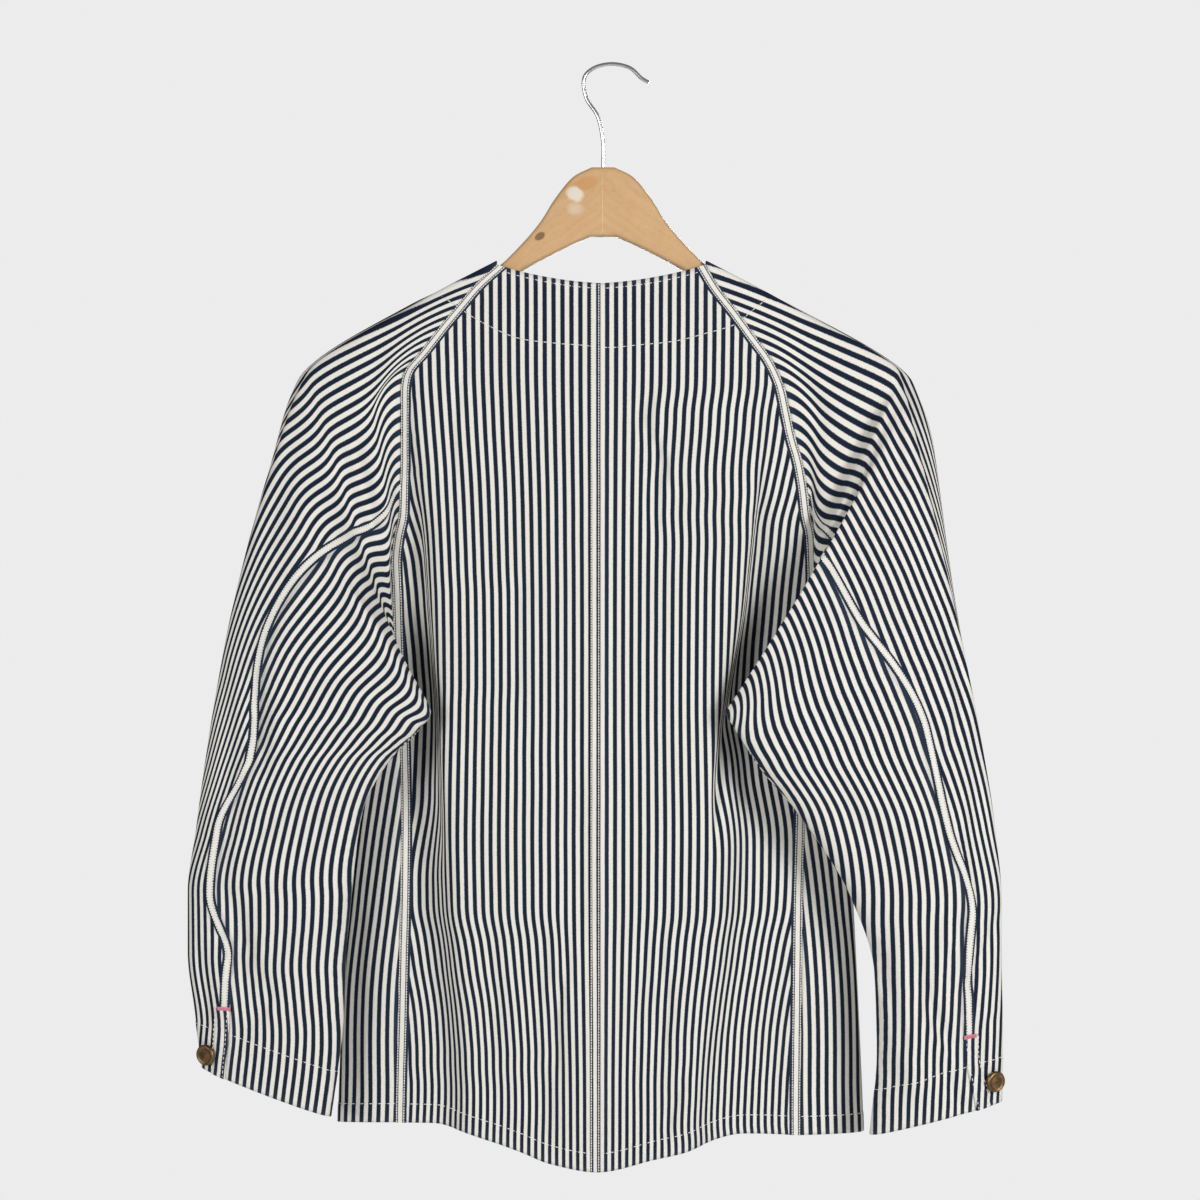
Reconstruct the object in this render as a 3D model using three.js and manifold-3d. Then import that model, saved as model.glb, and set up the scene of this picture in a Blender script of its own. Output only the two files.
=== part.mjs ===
import * as THREE from 'three';
import { mergeVertices } from 'three/addons/utils/BufferGeometryUtils.js';
import Module from 'manifold-3d';

// A collarless raglan chore jacket in hickory stripe, on a wooden hanger with a steel hook.
// Millimetres, +Z up. The origin is where the hook's inside rests on a peg. The jacket's back
// faces -Y, its front faces +Y, and +X is the wearer's right.

// Cloth
const WALL = 1.6;
const SEAM_INSET = 0.24;
const SHARPEST_SEAM = 0.4;
const VENT_INSET = 1.6;
const CENTRE_BACK_X = -9;
const LAP = 17;
const LAP_STEP = WALL + 0.9;
const LAP_EASE = 14;
const NECK_BACK_Z = -172;
const NECK_FRONT_Z = -252;
const HEM_FRONT_Z = -836;
const ARMPIT_Z = -450;
const NECK_STRIP_RISE = 12;
const FRONT_NECK_ROUNDNESS = 2.7;
const BACK_NECK_BOW = 0.3;
const BACK_NECK_DIP = 6;
const SIDE_ROUNDNESS = 2.6;
const FOLD_END = 0.12;
const FOLD_FADE = 0.1;

// Grid of each panel
const BACK_STEPS = 16;
const FRONT_STEPS = 18;
const SIDE_ROWS = 14;
const RAGLAN_UPPER_ROWS = 8;
const RAGLAN_UNDER_ROWS = 6;
const RAGLAN_FRONT_ROWS = 12;
const NECK_STRIP_STEPS = 4;
const STATION_STEPS = 2;
const CURVE_STEPS = 200;

// Share of the back raglan seam, from the neck, at which the sleeve's own back seam starts
const SLEEVE_SEAM_SHARE = 0.64;
// Angle of the sleeve's section at which its neck edge starts and ends
const ANGLE_AT_NECK = 12;

// Hanger
const HANGER_CENTRE_X = -7;
const HANGER_THICK = 12;
const HANGER_ROUND = 3.6;
const WIRE_RADIUS = 1.5;
const WIRE_ARC_STEPS = 6;
const WIRE_STEPS = 56;
const WIRE_DEPTH_IN_WOOD = 24;
const WIRE_CLEARANCE = 0.3;
const BORE_OVERRUN = 10;

// Buttons
const BUTTON_RADIUS = 8.2;
const BUTTON_THICK = 3.4;
const BUTTON_SHANK_RADIUS = 2.6;
const BUTTON_SHANK = 2.0;
const BUTTON_GAP = 0.3;
const BUTTON_SIDES = 14;
const BUTTON_RIM = [[0.9, 0], [1, 0.35], [0.96, 0.75], [0.84, 1], [0.7, 0.85], [0.4, 0.97], [0, 1]];
const CUFF_BUTTON = { left: { reach: 536, angle: 32 }, right: { reach: 552, angle: 34 } };
const FRONT_BUTTONS = 5;
const FRONT_BUTTON_TOP_Z = -268;
const FRONT_BUTTON_PITCH = 110;

const named = (columns, row) => Object.fromEntries(columns.map((name, i) => [name, row[i]]));
const table = (columns, rows) => rows.map((row) => named(columns, row));

// The body's outline at each height: left and right edges, and the depth of its flat back,
// of its side edges and of its front
const BODY = table(['z', 'left', 'right', 'back', 'edge', 'front'], [
  [-880, -217, 199, -16, 8, 38],
  [-830, -216, 198, -16, 8, 38],
  [-734, -212, 194, -16, 8, 38],
  [-655, -206, 190, -16, 8, 37],
  [-577, -200, 184, -16, 8, 36],
  [-498, -192, 178, -15, 8, 35],
  [-451, -186, 173, -14, 7, 33],
  [-404, -184, 172, -14, 6, 30],
  [-345, -190, 176, -14, 5, 26],
  [-254, -200, 186, -13, 3, 20],
  [-150, -210, 196, -11, 0, 12],
]);

// The middle of the back stands proud of its sides: where its two flanks run, how far they drop
// and how wide they are
const PLATEAU = table(['z', 'leftX', 'leftDrop', 'leftWidth', 'rightX', 'rightDrop', 'rightWidth'], [
  [-880, -120, 13, 9, 68, 19, 13],
  [-789, -121, 17, 9, 72, 21, 13],
  [-743, -124, 20, 8, 82, 21, 13],
  [-697, -127, 23, 8, 89, 21, 12],
  [-651, -131, 25, 8, 94, 21, 11],
  [-604, -134, 26, 8, 97, 22, 11],
  [-558, -137, 26, 7, 97, 24, 10],
  [-512, -137, 25, 7, 91, 27, 9],
  [-465, -141, 22, 7, 97, 26, 10],
  [-419, -143, 18, 8, 106, 23, 11],
  [-373, -144, 15, 8, 112, 18, 11],
  [-327, -152, 11, 7, 116, 13, 9],
  [-280, -156, 7, 6, 117, 8, 8],
  [-234, -157, 4, 8, 122, 5, 10],
  [-150, -150, 0, 12, 125, 0, 14],
]);

// The seam at the outer edge of each back half: the side seam up to the armpit, then the raglan seam
const SEAM_LEFT = table(['z', 'x'], [
  [-880, -169], [-829, -169], [-730, -167], [-613, -165], [-536, -166], [-497, -169], [-450, -171],
  [-415, -172], [-388, -173], [-370, -171], [-352, -167], [-334, -166], [-305, -165], [-276, -165],
  [-255, -165], [-243, -163], [-226, -150], [-204, -133], [-187, -119], [-175, -109], [-157.5, -90],
]);
const SEAM_RIGHT = table(['z', 'x'], [
  [-880, 147], [-841, 147], [-730, 148], [-652, 149], [-575, 151], [-497, 153], [-450, 157],
  [-404, 160], [-371, 159], [-351, 155], [-334, 153], [-312, 149], [-291, 143], [-272, 139],
  [-254, 135], [-234, 126], [-214, 112], [-193, 97], [-176, 84], [-157.5, 73],
]);

// The front raglan seam, as the way round the body: 0 at the centre front, 1 at the side edge
const SEAM_FRONT = table(['z', 'way'], [
  [-436, 1.05], [-420, 0.93], [-395, 0.8], [-360, 0.69], [-320, 0.61], [-280, 0.55], [-240, 0.47],
  [-205, 0.37], [-173, 0.28],
]);

// Hem of the back
const HEM = table(['x', 'z'], [
  [-230, -818], [-214, -824], [-186, -827], [-140, -827], [-117, -831], [-94, -838], [-71, -846],
  [-48, -855], [-12, -861], [33, -851], [56, -846], [79, -839], [102, -835], [148, -837],
  [175, -839], [199, -836], [215, -830],
]);

// Soft folds of the body, each a line from one end to the other: positive depths sink into the cloth
const FOLD_COLUMNS = ['x0', 'z0', 'x1', 'z1', 'width', 'depth'];
const BACK_FOLDS = table(FOLD_COLUMNS, [
  [-53, -690, -57, -850, 15, 6],
  [-29, -520, -25, -700, 11, 3],
  [-92, -700, -84, -850, 13, 4],
  [22, -240, 52, -400, 12, 2.5],
  [55, -330, 40, -560, 12, -2],
  [30, -700, 40, -850, 14, 4],
  [-150, -560, -148, -700, 9, 3],
  [128, -620, 122, -840, 10, 3],
]);
const FRONT_FOLDS = table(FOLD_COLUMNS, [
  [-70, -300, -88, -850, 26, 13],
  [-140, -420, -146, -850, 20, -8],
  [62, -300, 78, -850, 24, 14],
  [128, -420, 132, -850, 20, -8],
  [-50, -520, -56, -850, 12, -5],
  [42, -560, 44, -850, 12, -4],
]);

// Sections of each sleeve by the reach along it: its outer and inner points, their depths, how far
// the near and far layers stand from the line between them towards either end, how far the far
// layer lags down the sleeve, how blunt the ends are, and where the back seam runs (0 at the
// outer point, 180 at the inner one)
const STATION_COLUMNS = ['reach', 'outX', 'outZ', 'inX', 'inZ', 'outY', 'inY', 'near', 'nearIn', 'far',
  'farIn', 'lag', 'outPower', 'inPower', 'seam'];
const SLEEVE_LEFT = table(STATION_COLUMNS, [
  [0, -92, -154, -171, -450, 0, -14, 13, 5, 13, 13, 0, 0.42, 0.5, 121],
  [35, -154, -186, -170, -452, 0, -22.5, 12.2, 5.5, 15, 18.7, 24.3, 0.42, 0.59, 110],
  [80, -239, -242, -167, -457, -2, -26.4, 15, 3, 16, 10.6, 21.1, 0.45, 0.91, 101],
  [150, -266, -318, -139, -505, -14, -48, 17, 13, 20, 20, 15.9, 0.6, 0.8, 74],
  [215, -298, -441, -147, -517, -22, -50, 19, 17, 24, 24, 18, 0.7, 0.8, 55],
  [285, -315, -544, -166, -536, -27, -46, 19, 19, 26, 26, 6, 0.8, 0.8, 63],
  [340, -322, -598, -192, -582, -29, -40, 19, 19, 26, 26, 0, 0.8, 0.8, 50],
  [395, -328, -645, -200, -638, -30, -36, 19, 19, 24, 24, 0, 0.8, 0.8, 51],
  [445, -328, -691, -205, -688, -30, -34, 18, 18, 22, 22, 0, 0.8, 0.8, 66],
  [492, -323, -734, -207, -741, -30, -34, 17, 17, 20, 20, 0, 0.8, 0.8, 61],
  [555, -317, -780, -217, -817, -29, -35, 15, 15, 18, 18, 0, 0.8, 0.8, 53],
]);
const SLEEVE_RIGHT = table(STATION_COLUMNS, [
  [0, 75, -154, 157, -450, 0, -14, 13, 5, 13, 13, 0, 0.42, 0.5, 121],
  [35, 139, -187, 152, -454, 0, -18.4, 10.5, 3.8, 25, 7, 20.4, 0.42, 0.59, 110],
  [80, 225, -241, 138, -465, -2, -37.9, 15, 6.8, 25, 8, 31, 0.45, 0.68, 103],
  [150, 234, -282, 87, -504, -16, -54, 15, 10.4, 20, 19.2, 52.2, 0.6, 0.61, 90],
  [215, 255, -376, 93, -517, -22, -55, 18, 16, 24, 21.7, 43.6, 0.7, 0.8, 82],
  [285, 283, -512, 112, -545, -27, -54, 19, 18, 25, 25, 19.2, 0.8, 0.8, 63],
  [345, 296, -594, 144, -585, -29, -48, 19, 18, 26, 26, 4, 0.8, 0.8, 65],
  [405, 301, -652, 184, -649, -30, -42, 19, 18, 25, 25, 0, 0.8, 0.8, 61],
  [460, 301, -699, 202, -707, -30, -38, 18, 18, 22, 22, 0, 0.8, 0.8, 70],
  [512, 302, -753, 204, -768, -30, -36, 17, 17, 20, 20, 0, 0.8, 0.8, 70],
  [575, 301, -806, 199, -831, -29, -35, 15, 15, 18, 18, 0, 0.8, 0.8, 55],
]);

// Folds of the sleeves' near layer
const SLEEVE_LEFT_FOLDS = table(FOLD_COLUMNS, [
  [-214, -398, -142, -503, 9, -5],
  [-186, -372, -160, -462, 12, 7],
  [-208, -300, -188, -385, 10, 4],
  [-276, -470, -268, -560, 9, 5],
  [-290, -640, -278, -740, 9, 6],
  [-180, -540, -262, -640, 12, 4],
  [-205, -640, -262, -720, 11, -4],
  [-247, -420, -236, -330, 11, -3],
]);
const SLEEVE_RIGHT_FOLDS = table(FOLD_COLUMNS, [
  [226, -262, 92, -500, 9, -5],
  [205, -262, 168, -352, 14, 8],
  [262, -428, 272, -492, 9, 5],
  [222, -330, 262, -470, 12, 3],
  [282, -560, 286, -660, 9, 6],
  [150, -560, 262, -650, 12, 4],
  [207, -712, 238, -806, 11, -7],
  [268, -700, 278, -780, 9, 5],
]);

// The hanger's half outline from its centre: the top edge out to the tip, then the underside back
const HANGER_TOP = table(['out', 'z'], [
  [9, -80], [24, -88], [38, -105], [48, -121], [60, -136], [78, -154.5], [90, -163], [102, -169],
  [126, -182], [149, -195], [173, -208.5], [197, -223.5], [213, -235],
]);
const HANGER_UNDER = table(['out', 'z'], [
  [220, -244], [218, -251], [209, -254], [190, -246], [150, -222], [105, -195], [68, -164], [30, -143],
  [10, -134],
]);

// The hook's wire, from inside the wood up and round to its tip
const WIRE_PATH = table(['x', 'z'], [
  [-7, -104], [-7, -80], [-7, -60], [-11, -40], [-20, -25.5], [-22, -10], [-14, -1.5], [0, 1.6],
  [14, -1.5], [23, -9.5], [29, -13],
]);

const clamp = (value, low, high) => Math.min(Math.max(value, low), high);
const lerp = (a, b, t) => a + (b - a) * t;
const radians = (degrees) => (degrees * Math.PI) / 180;
const ease = (t) => {
  const c = clamp(t, 0, 1);
  return c * c * (3 - 2 * c);
};
const step = (t) => 0.5 * (1 + Math.tanh(t));

// Slopes of a curve that passes through the values without overshooting them
function gentleSlopes(keys, values) {
  const rises = keys.slice(1).map((key, i) => (values[i + 1] - values[i]) / (key - keys[i]));
  return keys.map((key, i) => {
    if (i === 0) return rises[0];
    if (i === keys.length - 1) return rises[i - 1];
    if (rises[i - 1] * rises[i] <= 0) return 0;
    return (2 * rises[i - 1] * rises[i]) / (rises[i - 1] + rises[i]);
  });
}

// A function that gives every column of a table at any value of its key column
function smoothTable(rows, key) {
  const keys = rows.map((row) => row[key]);
  const columns = Object.keys(rows[0]).filter((name) => name !== key);
  const slopes = {};
  for (const name of columns) slopes[name] = gentleSlopes(keys, rows.map((row) => row[name]));
  return (at) => {
    const here = clamp(at, keys[0], keys[keys.length - 1]);
    const after = keys.findIndex((k) => k > here);
    const i = after < 0 ? keys.length - 2 : after - 1;
    const span = keys[i + 1] - keys[i];
    const t = (here - keys[i]) / span;
    const values = {};
    for (const name of columns) {
      const base = lerp(rows[i][name], rows[i + 1][name], t * t * (3 - 2 * t));
      const bend = (1 - t) * slopes[name][i] - t * slopes[name][i + 1];
      values[name] = base + bend * span * t * (1 - t);
    }
    return values;
  };
}

// The depth that a list of soft folds adds at a place on the cloth
function foldDepth(folds, x, z) {
  let total = 0;
  for (const fold of folds) {
    const runX = fold.x1 - fold.x0;
    const runZ = fold.z1 - fold.z0;
    const long = Math.hypot(runX, runZ);
    const along = ((x - fold.x0) * runX + (z - fold.z0) * runZ) / long;
    const across = ((x - fold.x0) * runZ - (z - fold.z0) * runX) / long;
    const fadeIn = step((along / long - FOLD_END) / FOLD_FADE);
    const fade = fadeIn * step((1 - FOLD_END - along / long) / FOLD_FADE);
    total += fold.depth * fade * Math.exp(-((across / fold.width) ** 2));
  }
  return total;
}

const bodyAt = smoothTable(BODY, 'z');
const plateauAt = smoothTable(PLATEAU, 'z');
const seamAt = { left: smoothTable(SEAM_LEFT, 'z'), right: smoothTable(SEAM_RIGHT, 'z') };
const frontSeamAt = smoothTable(SEAM_FRONT, 'z');
const hemAt = smoothTable(HEM, 'x');
const SIGN = { left: -1, right: 1 };

// How far the back's middle stands towards the viewer
function plateau(x, z) {
  const p = plateauAt(z);
  const left = p.leftDrop * step((x - p.leftX) / p.leftWidth);
  const right = p.rightDrop * step((p.rightX - x) / p.rightWidth);
  return lerp(left, right, ease((x - p.leftX) / (p.rightX - p.leftX)));
}

function bodyBreadth(z) {
  const b = bodyAt(z);
  return { middle: (b.left + b.right) / 2, half: (b.right - b.left) / 2, ...b };
}

function backDepth(x, z) {
  const b = bodyBreadth(z);
  const share = clamp(Math.abs(x - b.middle) / b.half, 0, 1);
  const round = (1 - share ** SIDE_ROUNDNESS) ** (1 / SIDE_ROUNDNESS);
  return b.edge - (b.edge - b.back) * round - plateau(x, z) + foldDepth(BACK_FOLDS, x, z) * round;
}

function frontDepth(x, z) {
  const b = bodyBreadth(z);
  const share = clamp(Math.abs(x - b.middle) / b.half, 0, 1);
  const round = (1 - share ** SIDE_ROUNDNESS) ** (1 / SIDE_ROUNDNESS);
  return b.edge + (b.front - b.edge) * round - foldDepth(FRONT_FOLDS, x, z) * round;
}

// A point on the body's surface at a height and a way round: 0 is the centre front, 1 the side
// edge and 2 the centre back
function bodyPoint(side, z, way) {
  const b = bodyBreadth(z);
  const x = b.middle + SIGN[side] * b.half * Math.sin((way * Math.PI) / 2);
  const y = way <= 1 ? frontDepth(x, z) : backDepth(x, z);
  return new THREE.Vector3(x, y, z);
}

function wayOnBack(side, x, z) {
  const b = bodyBreadth(z);
  const share = clamp((SIGN[side] * (x - b.middle)) / b.half, -1, 1);
  return 2 - (2 / Math.PI) * Math.asin(share);
}

// The direction into the body at a place on its surface
function bodyInward(side, z, way) {
  const h = 0.01;
  const round = bodyPoint(side, z, way + h).sub(bodyPoint(side, z, way - h));
  const up = bodyPoint(side, z + 1, way).sub(bodyPoint(side, z - 1, way));
  return round.cross(up).normalize().multiplyScalar(SIGN[side]);
}

// The points that split a curve into equal lengths
function evenly(curve, pieces) {
  const fine = CURVE_STEPS;
  const points = Array.from({ length: fine + 1 }, (_, i) => curve(i / fine));
  const lengths = [0];
  for (let i = 1; i <= fine; i++) lengths.push(lengths[i - 1] + points[i].distanceTo(points[i - 1]));
  const shares = [];
  for (let k = 0; k <= pieces; k++) {
    const goal = (lengths[fine] * k) / pieces;
    const i = clamp(lengths.findIndex((l) => l >= goal), 1, fine);
    shares.push((i - 1 + (goal - lengths[i - 1]) / (lengths[i] - lengths[i - 1])) / fine);
  }
  return shares.map((share) => curve(share));
}

const neckPointZ = SEAM_LEFT[SEAM_LEFT.length - 1].z;
const frontNeckZ = SEAM_FRONT[SEAM_FRONT.length - 1].z;

function backSeamPoint(side, z) {
  const x = seamAt[side](z).x;
  return new THREE.Vector3(x, backDepth(x, z), z);
}

function frontSeamWay(side, z) {
  const armpitWay = wayOnBack(side, seamAt[side](ARMPIT_Z).x, ARMPIT_Z);
  const firstZ = SEAM_FRONT[0].z;
  if (z >= firstZ) return frontSeamAt(z).way;
  return lerp(armpitWay, SEAM_FRONT[0].way, (z - ARMPIT_Z) / (firstZ - ARMPIT_Z));
}

// The raglan seam's points from the neck to the armpit: the back one down to the sleeve's own
// back seam, the rest of the back one, and the front one
function raglan(side) {
  const backSeam = (share) => backSeamPoint(side, lerp(neckPointZ, ARMPIT_Z, share));
  const splitZ = evenly(backSeam, CURVE_STEPS)[Math.round(SLEEVE_SEAM_SHARE * CURVE_STEPS)].z;
  const upper = evenly((share) => backSeamPoint(side, lerp(neckPointZ, splitZ, share)), RAGLAN_UPPER_ROWS);
  const under = evenly((share) => backSeamPoint(side, lerp(splitZ, ARMPIT_Z, share)), RAGLAN_UNDER_ROWS);
  const front = evenly((share) => {
    const z = lerp(frontNeckZ, ARMPIT_Z, share);
    return bodyPoint(side, z, frontSeamWay(side, z));
  }, RAGLAN_FRONT_ROWS);
  front[RAGLAN_FRONT_ROWS].copy(under[RAGLAN_UNDER_ROWS]);
  return { upper, under, front };
}

const RAGLAN = { left: raglan('left'), right: raglan('right') };

// Heights of the side seam from the hem up to the armpit
function sideHeights(side) {
  const hemZ = hemAt(seamAt[side](HEM_FRONT_Z).x).z;
  return Array.from({ length: SIDE_ROWS }, (_, i) => lerp(hemZ, ARMPIT_Z, i / SIDE_ROWS));
}

// A closed wall through a grid of outer points, with the direction inwards at each of them
function wall(outer, inward) {
  const rows = outer.length;
  const columns = outer[0].length;
  const positions = [];
  for (let i = 0; i < rows; i++) {
    for (let j = 0; j < columns; j++) {
      const p = outer[i][j];
      const q = p.clone().addScaledVector(inward[i][j], WALL);
      positions.push(p.x, p.y, p.z, q.x, q.y, q.z);
    }
  }
  const out = (i, j) => 2 * (i * columns + j);
  const inn = (i, j) => out(i, j) + 1;
  const faces = [];
  const quad = (a, b, c, d) => faces.push(a, b, c, a, c, d);
  for (let i = 0; i + 1 < rows; i++) {
    for (let j = 0; j + 1 < columns; j++) {
      quad(out(i, j), out(i, j + 1), out(i + 1, j + 1), out(i + 1, j));
      quad(inn(i, j), inn(i + 1, j), inn(i + 1, j + 1), inn(i, j + 1));
    }
  }
  for (let j = 0; j + 1 < columns; j++) {
    quad(out(0, j), inn(0, j), inn(0, j + 1), out(0, j + 1));
    quad(out(rows - 1, j), out(rows - 1, j + 1), inn(rows - 1, j + 1), inn(rows - 1, j));
  }
  for (let i = 0; i + 1 < rows; i++) {
    quad(out(i, 0), out(i + 1, 0), inn(i + 1, 0), inn(i, 0));
    quad(out(i, columns - 1), inn(i, columns - 1), inn(i + 1, columns - 1), out(i + 1, columns - 1));
  }
  return facingOut(positions, faces);
}

// A mesh of the faces, turned so that it encloses a positive volume
function facingOut(positions, faces) {
  const corner = (k) => new THREE.Vector3().fromArray(positions, 3 * faces[k]);
  let volume = 0;
  for (let k = 0; k < faces.length; k += 3) volume += corner(k).dot(corner(k + 1).cross(corner(k + 2)));
  const index = volume > 0 ? faces : faces.slice().reverse();
  const geometry = new THREE.BufferGeometry();
  geometry.setAttribute('position', new THREE.Float32BufferAttribute(positions, 3));
  geometry.setIndex(index);
  return geometry;
}

// Pulls a column of a grid in along the cloth towards the next column
function insetColumn(grid, firstRow, j, towards, amount) {
  for (let i = firstRow; i < grid.length; i++) {
    grid[i][j].add(grid[i][towards].clone().sub(grid[i][j]).setLength(amount));
  }
}

// Gives the corners that pieces share at their seams one direction into the cloth, the mean of
// their own, and moves them apart across it, so that the pieces keep a gap
function joinSeams(pieces) {
  const places = new Map();
  for (const piece of pieces) {
    const rows = piece.grid.length;
    const columns = piece.grid[0].length;
    piece.grid.forEach((row, i) => row.forEach((point, j) => {
      if (i > 0 && j > 0 && i < rows - 1 && j < columns - 1) return;
      const key = point.toArray().map((value) => Math.round(value * 100 + 0.31)).join();
      const nextI = clamp(i, 1, rows - 2);
      const nextJ = clamp(j, 1, columns - 2);
      const away = piece.grid[nextI][nextJ].clone().sub(point);
      if (!places.has(key)) places.set(key, []);
      places.get(key).push({ point, away, direction: piece.inward[i][j] });
    }));
  }
  for (const corners of places.values()) {
    if (corners.length < 2) continue;
    const shared = new THREE.Vector3();
    for (const corner of corners) shared.add(corner.direction);
    const agreement = Math.max(shared.length() / corners.length, SHARPEST_SEAM);
    shared.normalize();
    for (const { point, away, direction } of corners) {
      direction.copy(shared);
      point.add(away.addScaledVector(shared, -away.dot(shared)).setLength(SEAM_INSET / agreement ** 3));
    }
  }
}

// Directions into a grid of points, found from its neighbours
function inwardOf(grid, sign) {
  const rows = grid.length;
  const columns = grid[0].length;
  return grid.map((row, i) => row.map((point, j) => {
    const up = grid[Math.min(i + 1, rows - 1)][j].clone().sub(grid[Math.max(i - 1, 0)][j]);
    const round = grid[i][Math.min(j + 1, columns - 1)].clone().sub(grid[i][Math.max(j - 1, 0)]);
    return round.cross(up).normalize().multiplyScalar(sign);
  }));
}

// One half of the back, from the centre back out to its side and raglan seams
function backHalf(side) {
  const below = sideHeights(side).map((z) => backSeamPoint(side, z));
  const above = [...RAGLAN[side].upper, ...RAGLAN[side].under.slice(1)].reverse();
  const seam = [...below, ...above];
  const hemZ = seam[0].z;
  const topZ = seam[seam.length - 1].z;
  const hemCentreZ = hemAt(CENTRE_BACK_X).z;
  const grid = seam.map((end) => {
    const share = (end.z - hemZ) / (topZ - hemZ);
    const centreZ = lerp(hemCentreZ, NECK_BACK_Z, share);
    return Array.from({ length: BACK_STEPS + 1 }, (_, j) => {
      const u = j / BACK_STEPS;
      if (j === BACK_STEPS) return end.clone();
      const x = lerp(CENTRE_BACK_X, end.x, u);
      const hemRise = (hemAt(x).z - lerp(hemCentreZ, hemZ, u)) * (1 - share) ** 3;
      const neckDip = BACK_NECK_DIP * u * (1 - u) * share ** 4;
      const z = lerp(centreZ, end.z, u * (1 - BACK_NECK_BOW * share * (1 - u))) + hemRise - neckDip;
      return new THREE.Vector3(x, backDepth(x, z), z);
    });
  });
  const inwardAt = (point) => bodyInward(side, point.z, wayOnBack(side, point.x, point.z));
  const inward = grid.map((row) => row.map(inwardAt));
  insetColumn(grid, 0, 0, 1, SEAM_INSET);
  return { grid, inward };
}

// The way round at which a front's lapped edge lies
const lapWay = (z) => -(2 / Math.PI) * Math.asin(LAP / bodyBreadth(z).half);

// One front, from its lapped edge round the side to its side and raglan seams
function frontHalf(side) {
  const over = side === 'left';
  const below = sideHeights(side).map((z) => ({ z, way: wayOnBack(side, seamAt[side](z).x, z) }));
  const above = [...RAGLAN[side].front].reverse().map((point) => ({
    z: point.z, point, way: frontSeamWay(side, point.z),
  }));
  const seam = [...below, ...above];
  const hemZ = seam[0].z;
  const topZ = seam[seam.length - 1].z;
  const grid = seam.map((end) => {
    const share = (end.z - hemZ) / (topZ - hemZ);
    const centreZ = lerp(HEM_FRONT_Z, NECK_FRONT_Z, share);
    return Array.from({ length: FRONT_STEPS + 1 }, (_, j) => {
      const u = j / FRONT_STEPS;
      const z = lerp(centreZ, end.z, lerp(u, u ** FRONT_NECK_ROUNDNESS, share ** 3));
      if (j === FRONT_STEPS) return end.point ? end.point.clone() : bodyPoint(side, end.z, end.way);
      const point = bodyPoint(side, z, lerp(lapWay(z), end.way, u));
      const pastLap = point.x - bodyBreadth(z).middle - LAP - LAP_EASE;
      if (!over) point.y -= LAP_STEP * (1 - ease(pastLap / LAP_EASE));
      return point;
    });
  });
  const inward = grid.map((row, i) => row.map((point, j) => {
    return bodyInward(side, point.z, lerp(lapWay(point.z), seam[i].way, j / FRONT_STEPS));
  }));
  return { grid, inward };
}

const SLEEVE = {
  left: { stations: SLEEVE_LEFT, at: smoothTable(SLEEVE_LEFT, 'reach'), folds: SLEEVE_LEFT_FOLDS },
  right: { stations: SLEEVE_RIGHT, at: smoothTable(SLEEVE_RIGHT, 'reach'), folds: SLEEVE_RIGHT_FOLDS },
};

// A point of a sleeve's oval section: angle 0 is the outer point, 180 the inner one, positive
// angles lie on the near layer and negative ones on the far layer
function ovalPoint(side, reach, angle) {
  const s = SLEEVE[side].at(reach);
  const across = (1 - Math.cos(radians(angle))) / 2;
  const rise = Math.abs(Math.sin(radians(angle))) ** lerp(s.outPower, s.inPower, across);
  const x = lerp(s.outX, s.inX, across);
  const z = lerp(s.outZ, s.inZ, across);
  const y = lerp(s.outY, s.inY, across);
  if (angle >= 0) {
    const near = lerp(s.near, s.nearIn, across) * rise;
    return new THREE.Vector3(x, y - near + foldDepth(SLEEVE[side].folds, x, z) * rise, z);
  }
  const length = Math.hypot(s.inX - s.outX, s.inZ - s.outZ);
  const lagX = (-(s.inZ - s.outZ) / length) * s.lag * rise * SIGN[side];
  const lagZ = ((s.inX - s.outX) / length) * s.lag * rise * SIGN[side];
  return new THREE.Vector3(x + lagX, y + lerp(s.far, s.farIn, across) * rise, z + lagZ);
}

// A sleeve starts on the raglan seam and its neck strip, and passes into its first oval section
function sleevePoint(side, reach, start, startAngle, angle) {
  const first = SLEEVE[side].stations[2].reach;
  const blend = ease(reach / first);
  const oval = ovalPoint(side, reach, lerp(startAngle, angle, blend));
  const correction = start.clone().sub(ovalPoint(side, 0, startAngle));
  return oval.addScaledVector(correction, 1 - blend);
}

// The neck edge of the sleeve, from the back raglan seam over the shoulder to the front one
function neckStrip(side) {
  const back = RAGLAN[side].upper[0];
  const front = RAGLAN[side].front[0];
  return Array.from({ length: NECK_STRIP_STEPS + 1 }, (_, i) => {
    const t = i / NECK_STRIP_STEPS;
    const point = back.clone().lerp(front, t);
    point.z += NECK_STRIP_RISE * Math.sqrt(Math.sin(Math.PI * t));
    return point;
  });
}

// The start points of a sleeve's upper piece, from its back seam over the neck to the armpit, with
// their angle at the start and their share of the way round
function upperStarts(side) {
  const { upper, front } = RAGLAN[side];
  const strip = neckStrip(side);
  const starts = [...upper].reverse().map((point, i) => ({
    point, angle: lerp(SLEEVE[side].stations[0].seam, ANGLE_AT_NECK, i / RAGLAN_UPPER_ROWS),
  }));
  strip.slice(1).forEach((point, i) => starts.push({
    point, angle: lerp(ANGLE_AT_NECK, -ANGLE_AT_NECK, (i + 1) / NECK_STRIP_STEPS),
  }));
  front.slice(1).forEach((point, i) => starts.push({
    point, angle: lerp(-ANGLE_AT_NECK, -180, (i + 1) / RAGLAN_FRONT_ROWS),
  }));
  return starts;
}

function underStarts(side) {
  return RAGLAN[side].under.map((point, i) => ({
    point, angle: lerp(SLEEVE[side].stations[0].seam, 180, i / RAGLAN_UNDER_ROWS),
  }));
}

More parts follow.
